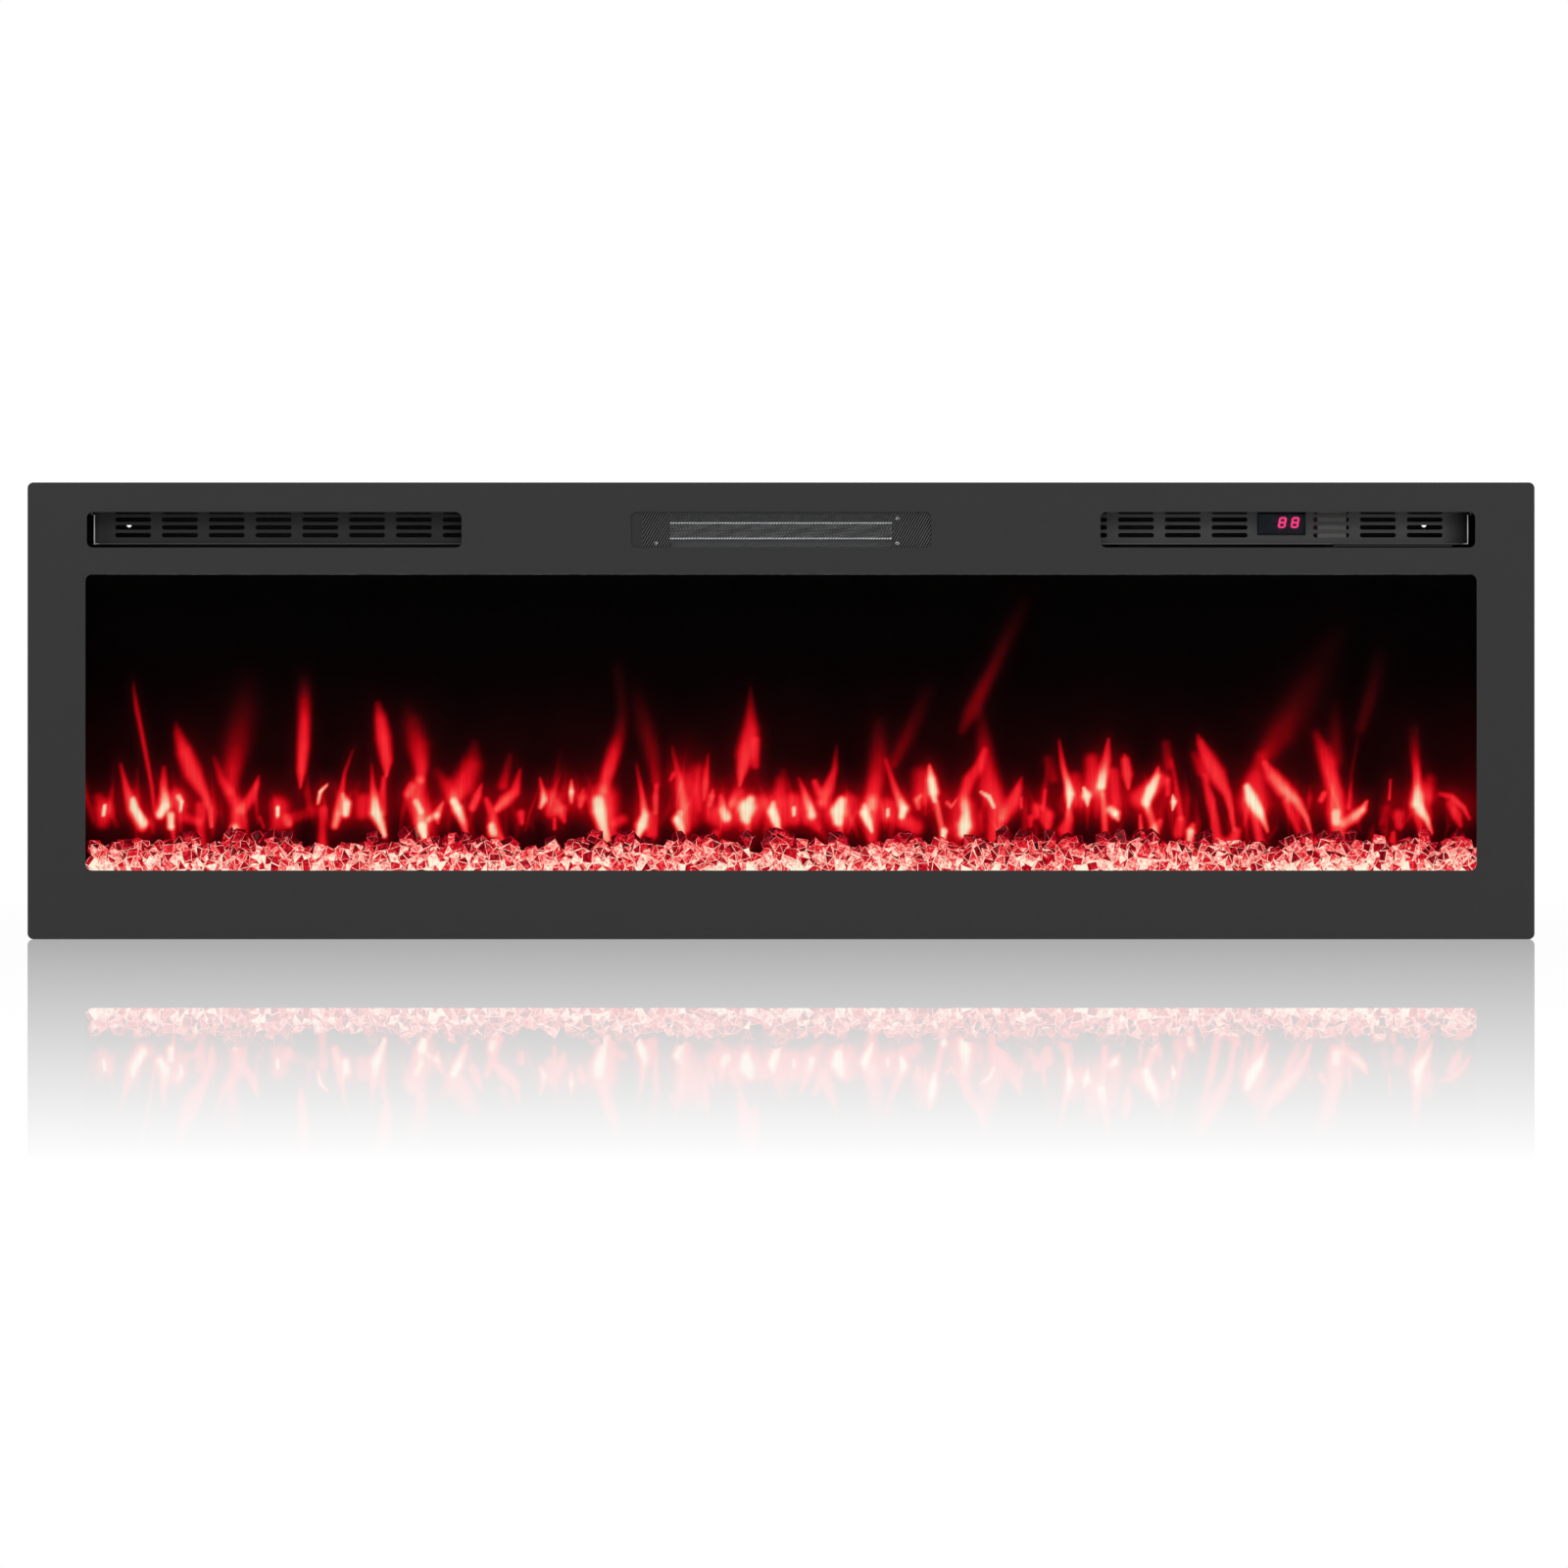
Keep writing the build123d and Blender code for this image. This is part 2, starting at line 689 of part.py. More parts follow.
with BuildPart() as screen_rails:
    slab((-flange_half, rail_front_y, floor_z), (flange_half, rail_back_y, screen_low))
    slab((-flange_half, rail_front_y, floor_z), (flange_half, tray_back_y, tray_z))
    slab((-flange_half, rail_back_y - rail_wall, floor_z), (flange_half, rail_back_y, floor_z + rail_depth))
    slab((-liner_x, rail_front_y, ceiling_z - rail_wall), (liner_x, rail_back_y, ceiling_z))
    slab((-liner_x, rail_front_y, window_top + rail_hide), (liner_x, tray_back_y, ceiling_z))
    slab((-liner_x, rail_back_y - rail_wall, window_top + rail_hide), (liner_x, rail_back_y, ceiling_z))

# Crystal tray, a clear trough on the lower rail and on the front wall of the screen's channel
tray_half = liner_x - tray_side_gap
with BuildPart() as crystal_tray:
    slab((-tray_half, tray_front_y, tray_z), (tray_half, tray_back_y, tray_top))
    slab(
        (-tray_half, tray_front_y, tray_z),
        (tray_half, tray_front_y + tray_lip, window_bottom - tray_lip_hide),
    )


def crystal(x, y, radius, height, sides, turn):
    """Cut stone with a flat foot, its widest girdle part way up and a smaller flat top."""
    with BuildPart() as stone:
        for share, level in ((0.7, 0.0), (1.0, 0.45), (0.45, 1.0)):
            with BuildSketch(Plane((x, y, tray_top + level * height))):
                RegularPolygon(share * radius, sides, rotation=turn)
        loft(ruled=True)
    return stone.part


# Crystals stand in rows on the tray, each in its own cell
crystal_random = random.Random(crystal_seed)
bed_front_y = tray_front_y + tray_lip + crystal_gap
bed_depth = tray_back_y - crystal_gap - bed_front_y
crystal_row_pitch = bed_depth / crystal_rows
crystal_room = min(crystal_pitch, crystal_row_pitch) / 2 - crystal_gap
stones = []
for row in range(crystal_rows):
    crystal_y = bed_front_y + (row + 0.5) * crystal_row_pitch
    for crystal_x in spread(-tray_half + crystal_pitch / 2, tray_half - crystal_pitch / 2, crystal_pitch):
        stone_size = crystal_random.uniform(0.85, 1.0) * crystal_room
        stone_height = crystal_height - crystal_random.uniform(0, crystal_height_spread)
        stone_sides = crystal_random.choice((5, 6, 7))
        stone_turn = crystal_random.uniform(0, 360)
        stones.append(crystal(crystal_x, crystal_y, stone_size, stone_height, stone_sides, stone_turn))
crystals = Compound(children=stones)

# Light boards on the chassis floor, with their lamps
light_half = flange_half - light_board_end_gap
lamp_x = spread(-light_half + lamp_size, light_half - lamp_size, lamp_pitch)
bed_board_y = rail_y + chassis_flange + board_gap
flame_board_y = rotor_y + max(foil_radius, motor_bracket_width / 2) + board_gap
lamp_z = floor_z + light_board_sheet
with BuildPart() as bed_light_board:
    slab((-light_half, bed_board_y, floor_z), (light_half, bed_board_y + light_board_width, lamp_z))

with BuildPart() as bed_lamps:
    with Locations(*[(x, bed_board_y + light_board_width / 2, lamp_z) for x in lamp_x]):
        Box(lamp_size, lamp_size, lamp_height, align=(Align.CENTER, Align.CENTER, Align.MIN))

with BuildPart() as flame_light_board:
    slab((-light_half, flame_board_y, floor_z), (light_half, flame_board_y + light_board_width, lamp_z))

with BuildPart() as flame_lamps:
    with Locations(*[(x, flame_board_y + light_board_width / 2, lamp_z) for x in lamp_x]):
        Box(lamp_size, lamp_size, lamp_height, align=(Align.CENTER, Align.CENTER, Align.MIN))

# Flame mask: an upright sheet whose leaning slots shape the light into tongues
mask_half = flange_half - light_board_end_gap
with BuildPart() as flame_mask:
    slab((-mask_half, mask_y, floor_z), (mask_half, mask_y + mask_sheet, floor_z + mask_height))
    slab((-mask_half, mask_y, floor_z), (mask_half, mask_y + mask_foot, floor_z + mask_sheet))
    with BuildSketch(front_plane(mask_y)):
        mask_slot_x = spread(-mask_half + mask_slot_pitch, mask_half - mask_slot_pitch, mask_slot_pitch)
        for i, x in enumerate(mask_slot_x):
            lean = mask_slot_lean if i % 2 else 180 - mask_slot_lean
            with Locations((x, floor_z + mask_height / 2)):
                SlotOverall(mask_slot_length, mask_slot_width, rotation=lean)
    extrude(amount=-mask_sheet, mode=Mode.SUBTRACT)

# Flame rotor: shaft, foils, coupling and the motor's spindle turn together
shaft_start_x = stand_left_x - bush_length
bore_radius = shaft_radius + run_gap
with BuildPart() as flame_shaft:
    rod(shaft_start_x, shaft_end_x, rotor_y, rotor_z, shaft_radius)

stand_middle_x = (stand_left_x + stand_right_x) / 2
foil_x = []
for span_from, span_to in ((stand_left_x, stand_middle_x), (stand_middle_x, stand_right_x)):
    foil_x += spread(span_from + foil_end_gap, span_to - foil_end_gap, foil_pitch)
with BuildPart() as flame_foils:
    with Locations(*[Location((x, rotor_y, rotor_z), head_right) for x in foil_x]):
        Cylinder(bore_radius + foil_sleeve, foil_width)
    with Locations(*[Location((x, rotor_y, rotor_z), (i * foil_turn, 0, 0)) for i, x in enumerate(foil_x)]):
        Box(foil_width, foil_sheet, 2 * foil_radius)
    rod(shaft_start_x, shaft_end_x, rotor_y, rotor_z, bore_radius, mode=Mode.SUBTRACT)

with BuildPart() as shaft_coupling:
    rod(coupling_x, coupling_x + coupling_length, rotor_y, rotor_z, bore_radius + coupling_wall)
    rod(coupling_x, coupling_x + coupling_length, rotor_y, rotor_z, bore_radius, mode=Mode.SUBTRACT)

with BuildPart() as motor_spindle:
    rod(spindle_x, motor_x + spindle_depth, rotor_y, rotor_z, shaft_radius)

# Stands and bushes that carry the shaft
stand_x = (stand_left_x, stand_middle_x, stand_right_x)
bush_radius = bore_radius + bush_wall
with BuildPart() as shaft_stands:
    for x in stand_x:
        slab(
            (x - stand_sheet / 2, rotor_y - stand_width / 2, floor_z),
            (x + stand_sheet / 2, rotor_y + stand_width / 2, rotor_z + stand_head),
        )
        slab(
            (x - stand_sheet / 2, rotor_y - stand_width / 2, floor_z),
            (x - stand_sheet / 2 + stand_foot, rotor_y + stand_width / 2, floor_z + stand_sheet),
        )
    rod(shaft_start_x, shaft_end_x, rotor_y, rotor_z, bush_radius + run_gap, mode=Mode.SUBTRACT)

with BuildPart() as shaft_bushes:
    for x in stand_x:
        rod(x - bush_length / 2, x + bush_length / 2, rotor_y, rotor_z, bush_radius)
        face_x = x - stand_sheet / 2
        rod(face_x - bush_flange / 2, face_x, rotor_y, rotor_z, bush_radius + bush_flange)
    rod(shaft_start_x, shaft_end_x, rotor_y, rotor_z, bore_radius, mode=Mode.SUBTRACT)

# Gear motor on its bracket, with the spindle below the middle of its can
with BuildPart() as motor_bracket:
    slab(
        (motor_plate_x, rotor_y - motor_bracket_width / 2, floor_z),
        (motor_x, rotor_y + motor_bracket_width / 2, rotor_z + motor_bracket_head),
    )
    slab(
        (motor_plate_x, rotor_y - motor_bracket_width / 2, floor_z),
        (motor_x + motor_length, rotor_y + motor_bracket_width / 2, floor_z + stand_sheet),
    )
    rod(motor_plate_x, motor_x, rotor_y, rotor_z, motor_boss_radius + run_gap, mode=Mode.SUBTRACT)

with BuildPart() as flame_motor:
    rod(motor_x, motor_x + motor_length, rotor_y, rotor_z + motor_offset, motor_radius)
    rod(motor_x - motor_boss_length + run_gap, motor_x, rotor_y, rotor_z, motor_boss_radius)
    rod(
        motor_x - motor_boss_length,
        motor_x + spindle_depth + run_gap,
        rotor_y,
        rotor_z,
        bore_radius,
        mode=Mode.SUBTRACT,
    )

# Heat outlet mesh: a thin sheet with rows of leaning gaps, on the back of the panel
mesh_half = outlet_length / 2 + mesh_border
mesh_height = vent_height + 2 * mesh_border
mesh_row_pitch = vent_height / mesh_rows
mesh_gap_length = (mesh_row_pitch - mesh_tie) / math.sin(math.radians(mesh_gap_lean)) - mesh_gap_width / 2
mesh_lean_shift = mesh_row_pitch / math.tan(math.radians(mesh_gap_lean))
mesh_gaps = []
for row in range(mesh_rows):
    offset = row - (mesh_rows - 1) / 2
    low_x = -outlet_length / 2 + mesh_plain_end + mesh_lean_shift
    for x in spread(low_x, outlet_length / 2 - mesh_lean_shift, mesh_pitch):
        mesh_gaps.append((x + offset * mesh_lean_shift, vent_mid + offset * mesh_row_pitch))
with BuildPart() as outlet_mesh:
    with BuildSketch(front_plane(panel_back_y)):
        with Locations((0, vent_mid)):
            Rectangle(2 * mesh_half, mesh_height)
        with Locations(*mesh_gaps):
            Rectangle(mesh_gap_length, mesh_gap_width, rotation=mesh_gap_lean, mode=Mode.SUBTRACT)
    extrude(amount=-mesh_sheet)

# Duct: a rectangular sheet tube on folded feet that holds the heating element, its mouth flanged at both ends
terminal_y = element_y + element_depth - terminal_radius - duct_sheet
terminal_z = (vent_mid - terminal_spread, vent_mid + terminal_spread)
duct_inner = duct_half_length - duct_sheet
mouth_half = duct_half_length + duct_mouth_flange
with BuildPart() as heater_duct:
    slab((-duct_half_length, duct_y, duct_z), (duct_half_length, duct_back_y, duct_top))
    slab((-mouth_half, duct_y, duct_z), (mouth_half, duct_y + duct_sheet, duct_top))
    slab(
        (-duct_inner, duct_y, duct_z + duct_sheet),
        (duct_inner, duct_back_y, duct_top - duct_sheet),
        mode=Mode.SUBTRACT,
    )
    for side in (-1, 1):
        low_x = min(side * duct_half_length, side * (duct_half_length - duct_foot))
        slab((low_x, duct_y, ceiling_top), (low_x + duct_foot, duct_y + duct_sheet, duct_z))
        slab((low_x, duct_y, ceiling_top), (low_x + duct_foot, duct_y + duct_foot, ceiling_top + duct_sheet))
    for z in terminal_z:
        rod(duct_inner, duct_half_length, terminal_y, z, terminal_radius + lead_radius, Mode.SUBTRACT)


def zigzag(z_low, z_high):
    """Outline of a folded fin strip between two levels, as points of a closed polygon."""
    folds = int(element_length / fin_pitch) * 2
    step = element_length / folds
    levels = [z_low if i % 2 else z_high for i in range(folds + 1)]
    upper = [(-element_half + i * step, z + fin_sheet / 2) for i, z in enumerate(levels)]
    lower = [(x, z - fin_sheet) for x, z in reversed(upper)]
    return upper + lower


# Heating element: folded aluminium fins between two bars, with a core bar set back in the middle
element_low = vent_mid - element_height / 2
element_high = vent_mid + element_height / 2
with BuildPart() as heating_element:
    with BuildSketch(front_plane(element_y)):
        with Locations((0, element_low + element_bar / 2), (0, element_high - element_bar / 2)):
            Rectangle(element_length, element_bar)
        Polygon(*zigzag(element_low + element_bar, vent_mid - element_core / 2), align=None)
        Polygon(*zigzag(vent_mid + element_core / 2, element_high - element_bar), align=None)
    extrude(amount=-element_depth)
    with BuildSketch(front_plane(element_y + element_core_setback)):
        with Locations((0, vent_mid)):
            Rectangle(element_length, element_core)
    extrude(amount=element_core_setback - element_depth)

# End caps of the element, with the screws' holes and the terminals on the right
cap_screws = [
    Location((-cap_screw_left, element_y, vent_mid - cap_screw_rise), head_front),
    Location((cap_screw_right, element_y, vent_mid - cap_screw_rise), head_front),
    Location((cap_screw_right, element_y, vent_mid + cap_screw_rise), head_front),
]
with BuildPart() as element_caps:
    for side in (-1, 1):
        low_x = min(side * element_half, side * duct_inner)
        slab(
            (low_x, element_y, duct_z + duct_sheet),
            (low_x + duct_inner - element_half, element_y + element_depth, duct_top - duct_sheet),
        )
    for z in terminal_z:
        rod(duct_inner, duct_inner + terminal_length, terminal_y, z, terminal_radius)
    with Locations(*cap_screws):
        Cylinder(screw_radius + screw_hole_gap, 2 * screw_length, mode=Mode.SUBTRACT)

# Blower: a scroll between two end plates, with the wheel turning inside
scroll_length = 2 * end_plate_x
with BuildPart() as blower_scroll:
    with BuildSketch(end_plane(-end_plate_x)):
        with BuildLine():
            bottom = (blower_y, blower_z - scroll_radius)
            mouth_y = duct_back_y + scroll_mouth_gap
            Polyline((mouth_y, duct_z + duct_sheet), bottom)
            CenterArc((blower_y, blower_z), scroll_radius, 270, scroll_wrap)
        trace(line_width=scroll_sheet)
        with BuildLine():
            tongue_y = blower_y - scroll_radius
            Polyline((mouth_y, duct_top - duct_sheet), (tongue_y, blower_z + scroll_gap))
        trace(line_width=scroll_sheet)
    extrude(amount=scroll_length)

plate_low_y = duct_back_y + scroll_mouth_gap
plate_high_y = blower_y + end_plate_reach
plate_high_z = inner_top - chassis_sheet - scroll_gap
with BuildPart() as blower_end_plates:
    for side in (-1, 1):
        low_x = min(side * end_plate_x, side * motor_face_x)
        slab((low_x, plate_low_y, ceiling_top), (low_x + end_plate_sheet, plate_high_y, plate_high_z))
        foot_x = min(side * end_plate_x, side * (end_plate_x + end_plate_foot))
        slab(
            (foot_x, plate_low_y, ceiling_top),
            (foot_x + end_plate_foot, plate_high_y, ceiling_top + end_plate_sheet),
        )
    rod(-motor_face_x, -end_plate_x, blower_y, blower_z, blower_bush_radius + run_gap, Mode.SUBTRACT)
    rod(end_plate_x, motor_face_x, blower_y, blower_z, shaft_hole_radius, Mode.SUBTRACT)

with BuildPart() as blower_wheel:
    with BuildSketch(end_plane(-wheel_half)):
        with Locations((blower_y, blower_z)):
            with PolarLocations(wheel_radius - blade_width / 2, blade_count):
                Rectangle(blade_width, blade_sheet, rotation=blade_tilt)
    extrude(amount=wheel_length)
    disc_step = (wheel_length - wheel_disc) / (wheel_discs - 1)
    for i in range(wheel_discs):
        disc_x = -wheel_half + i * disc_step
        rod(disc_x, disc_x + wheel_disc, blower_y, blower_z, wheel_radius)
    rod(wheel_half - hub_length, wheel_half, blower_y, blower_z, hub_radius)
    rod(wheel_half - hub_length, wheel_half, blower_y, blower_z, blower_shaft_radius + run_gap, Mode.SUBTRACT)
    rod(-motor_face_x - blower_bush_length / 2, -wheel_half, blower_y, blower_z, shaft_radius)

with BuildPart() as blower_bush:
    bush_from = -motor_face_x - blower_bush_length / 2
    bush_to = -end_plate_x + end_plate_gap / 2
    rod(bush_from, bush_to, blower_y, blower_z, blower_bush_radius)
    rod(bush_from, bush_to, blower_y, blower_z, bore_radius, Mode.SUBTRACT)

stator_x = motor_face_x + bridge_length
stator_end_x = stator_x + stator_length
motor_end_x = stator_end_x + bridge_length + bearing_cap_length
with BuildPart() as blower_shaft:
    rod(wheel_half - hub_length, motor_end_x - bearing_cap_length, blower_y, blower_z, blower_shaft_radius)

with BuildPart() as blower_motor:
    slab(
        (stator_x, blower_y - stator_width / 2, blower_z - stator_height / 2),
        (stator_end_x, blower_y + stator_width / 2, blower_z + stator_height / 2),
    )
    for bridge_x in (motor_face_x, stator_end_x):
        slab(
            (bridge_x, blower_y - bridge_width / 2, blower_z - bridge_height / 2),
            (bridge_x + bridge_length, blower_y + bridge_width / 2, blower_z + bridge_height / 2),
        )
    slab(
        (stator_x - coil_overhang, blower_y - coil_width / 2, blower_z - stator_height / 2),
        (stator_end_x + coil_overhang, blower_y + coil_width / 2, blower_z - stator_height / 2 + coil_height),
    )
    rod(stator_end_x, motor_end_x, blower_y, blower_z, bearing_cap_radius)
    rod(
        motor_face_x,
        motor_end_x - bearing_cap_length,
        blower_y,
        blower_z,
        blower_shaft_radius + run_gap,
        mode=Mode.SUBTRACT,
    )

# Overheat cutout: a disc thermostat on top of the duct
cutout_y = (duct_y + duct_back_y) / 2
with BuildPart() as overheat_cutout:
    with Locations((cutout_x, cutout_y, duct_top)):
        Cylinder(cutout_radius, cutout_height, align=(Align.CENTER, Align.CENTER, Align.MIN))
        Cylinder(cutout_radius + cutout_tab, cutout_flange, align=(Align.CENTER, Align.CENTER, Align.MIN))
    tab_height = cutout_height + cutout_tab
    for tab_x in (cutout_x - cutout_radius / 2, cutout_x + cutout_radius / 2):
        with Locations((tab_x, cutout_y, duct_top)):
            Box(cutout_flange, cutout_radius, tab_height, align=(Align.CENTER, Align.CENTER, Align.MIN))

# Display: smoked lens in the vent plate, digit bars behind it, board and bracket
lens_front_y = plate_y - lens_proud
lens_back_y = plate_back_y + lens_back
digit_y = lens_back_y + digit_lens_gap
display_board_y = digit_y + digit_depth
with BuildPart() as display_lens:
    slab(
        (display_x - lens_width / 2, lens_front_y, lens_z - lens_height / 2),
        (display_x + lens_width / 2, lens_back_y, lens_z + lens_height / 2),
    )

# Seven bars of a digit: (across, up) of the bar's middle in half digits, and whether it stands
digit_bars = (
    (0, 1, False),
    (0, 0, False),
    (0, -1, False),
    (-1, 0.5, True),
    (-1, -0.5, True),
    (1, 0.5, True),
    (1, -0.5, True),
)
digit_shear = math.tan(math.radians(digit_lean))
digit_across = (digit_width - digit_stroke - digit_height * digit_shear) / 2
digit_up = (digit_height - digit_stroke) / 2
digits_x = display_x + digit_offset
digits_z = lens_z - digit_drop


def digit_bar(across, up, standing):
    """One bar of a seven-bar digit, in the sketch being built, about the digit's middle."""
    length = digit_up - digit_stroke / 2 if standing else 2 * digit_across - digit_stroke / 2
    turn = 90 - digit_lean if standing else 0
    z = up * digit_up
    with Locations((across * digit_across + z * digit_shear, z)):
        Rectangle(length, digit_stroke, rotation=turn)


with BuildPart() as display_digits:
    with BuildSketch(front_plane(digit_y)):
        for digit_x in (digits_x - digit_pitch / 2, digits_x + digit_pitch / 2):
            with Locations((digit_x, digits_z)):
                for across, up, standing in digit_bars:
                    digit_bar(across, up, standing)
    extrude(amount=-digit_depth)

board_half = lens_width / 2 + display_board_edge
with BuildPart() as display_board:
    slab(
        (display_x - board_half, display_board_y, lens_z - lens_height / 2),
        (display_x + board_half, display_board_y + display_board_sheet, lens_z + lens_height / 2),
    )

bracket_y = display_board_y + display_board_sheet
leg_x = display_x + lens_width / 2 + bracket_leg_gap
with BuildPart() as display_bracket:
    slab(
        (display_x - board_half, bracket_y, lens_z - lens_height / 2),
        (leg_x + chassis_sheet, bracket_y + chassis_sheet, lens_z + lens_height / 2),
    )
    slab(
        (leg_x, plate_back_y, lens_z - lens_height / 2),
        (leg_x + chassis_sheet, bracket_y + chassis_sheet, lens_z + lens_height / 2),
    )
    slab(
        (leg_x, plate_back_y, plate_z + bracket_leg_rise),
        (leg_x + bracket_leg, plate_back_y + chassis_sheet, lens_z + lens_height / 2),
    )

# Control strip under the right vent plate's flange, with five keys along its front
strip_high_x = plate_end - strip_inset
strip_mid_x = strip_high_x - strip_length / 2
strip_z = plate_z - strip_thickness
strip_front_y = panel_back_y + strip_front_gap
key_y = strip_front_y + key_edge + key_fit + key_depth / 2
key_x = [strip_mid_x + (i - (len(key_names) - 1) / 2) * key_pitch for i in range(len(key_names))]
key_floor_z = plate_z - key_height - key_room
with BuildPart() as control_strip:
    slab(
        (strip_high_x - strip_length, strip_front_y, strip_z),
        (strip_high_x, chassis_y + strip_hold, plate_z),
    )
    for x in key_x:
        slab(
            (x - key_length / 2 - key_fit, key_y - key_depth / 2 - key_fit, key_floor_z),
            (x + key_length / 2 + key_fit, key_y + key_depth / 2 + key_fit, plate_z),
            mode=Mode.SUBTRACT,
        )

keys = {}
for key_name, x in zip(key_names, key_x):
    with BuildPart() as key:
        slab(
            (x - key_length / 2, key_y - key_depth / 2, plate_z - key_height),
            (x + key_length / 2, key_y + key_depth / 2, plate_z),
        )
        fillet(key.edges().filter_by(Axis.Z), key_edge)
    keys[key_name] = key.part

# Main board on its posts, with transformer and relays
with BuildPart() as main_board:
    slab((board_x, board_y, board_z), (board_x + board_length, board_y + board_depth, board_top))

transformer_x = board_x + board_length - board_post_inset - transformer_size[0] / 2
board_mid_y = board_y + board_depth / 2
with BuildPart() as transformer:
    with Locations((transformer_x, board_mid_y, board_top)):
        Box(*transformer_size, align=(Align.CENTER, Align.CENTER, Align.MIN))

relay_x = transformer_x - transformer_size[0] / 2 - part_spacing - relay_size[0] / 2
with BuildPart() as relays:
    with Locations(*[(relay_x, board_mid_y + side * relay_pitch / 2, board_top) for side in (-1, 1)]):
        Box(*relay_size, align=(Align.CENTER, Align.CENTER, Align.MIN))

# Heater leads: from the element's terminals along to the board and down on to it
lead_start_x = duct_inner + terminal_length
with BuildPart() as heater_leads:
    for i, z in enumerate(terminal_z):
        lead_end_x = board_x + board_post_inset + (i + 1) * lead_step
        with BuildLine():
            FilletPolyline(
                (lead_start_x, terminal_y, z),
                (lead_end_x, terminal_y, z),
                (lead_end_x, terminal_y, board_top),
                radius=lead_bend,
            )
        with BuildSketch(Plane(origin=(lead_start_x, terminal_y, z), z_dir=(1, 0, 0))):
            Circle(lead_radius)
        sweep()

# Cord gland in the right side panel
with BuildPart() as cord_gland:
    rod(chassis_half - gland_length, chassis_half, gland_y, switch_z, gland_radius)
    rod(chassis_half, chassis_half + gland_flange_length, gland_y, switch_z, gland_flange)
    rod(inner_half - gland_nut_length, inner_half, gland_y, switch_z, gland_flange)
    rod(
        chassis_half - gland_length,
        chassis_half + gland_flange_length,
        gland_y,
        switch_z,
        gland_bore,
        mode=Mode.SUBTRACT,
    )

# Mains switch: a snap-in body with a bezel, and a rocker on two pins
well_length = switch_length - 2 * switch_wall
well_width = switch_width - 2 * switch_wall
well_floor_x = pivot_x - rocker_root - rocker_pivot_depth
with BuildPart() as switch_body:
    slab(
        (chassis_half - switch_depth, switch_y - switch_length / 2, switch_z - switch_width / 2),
        (chassis_half, switch_y + switch_length / 2, switch_z + switch_width / 2),
    )
    bezel_length = switch_length / 2 + switch_bezel
    bezel_width = switch_width / 2 + switch_bezel
    slab(
        (chassis_half, switch_y - bezel_length, switch_z - bezel_width),
        (chassis_half + switch_bezel, switch_y + bezel_length, switch_z + bezel_width),
    )
    slab(
        (well_floor_x, switch_y - well_length / 2, switch_z - well_width / 2),
        (chassis_half + switch_bezel, switch_y + well_length / 2, switch_z + well_width / 2),
        mode=Mode.SUBTRACT,
    )
    with Locations((pivot_x, switch_y, switch_z)):
        Cylinder(rocker_pin + run_gap, well_width + 2 * rocker_pin_length + 2 * run_gap, mode=Mode.SUBTRACT)

rocker_half = well_length / 2 - rocker_end_gap
rocker_width = well_width - 2 * rocker_side_gap
rocker_outline = (
    (rocker_dip, 0),
    (rocker_tip, rocker_half),
    (rocker_skirt, rocker_half),
    (-rocker_root, 0),
    (rocker_skirt, -rocker_half),
    (rocker_tip, -rocker_half),
)
with BuildPart() as power_rocker:
    rocker_plane = Plane(origin=(pivot_x, switch_y, switch_z - rocker_width / 2))
    with BuildSketch(rocker_plane.rotated((0, 0, rocker_tilt))):
        Polygon(*rocker_outline, align=None)
    extrude(amount=rocker_width)
    with Locations((pivot_x, switch_y, switch_z)):
        Cylinder(rocker_pin, well_width + 2 * rocker_pin_length)

# Screws: the chassis's, heads outside, and the smaller-headed ones of the element's caps
chassis_screw_places = (
    top_back_screws
    + base_back_screws
    + base_rail_screws
    + right_plate_screws
    + left_plate_screws
    + right_side_screws
    + left_side_screws
    + right_end_screws
    + left_end_screws
    + right_bracket_screws
    + left_bracket_screws
)
with BuildPart() as screws:
    with Locations(*chassis_screw_places):
        Cylinder(screw_head_radius, screw_head_height, align=(Align.CENTER, Align.CENTER, Align.MIN))
    with Locations(*cap_screws):
        Cylinder(cap_screw_head, cap_screw_head_height, align=(Align.CENTER, Align.CENTER, Align.MIN))
    with Locations(*chassis_screw_places, *cap_screws):
        Cylinder(screw_radius, screw_length, align=(Align.CENTER, Align.CENTER, Align.MAX))

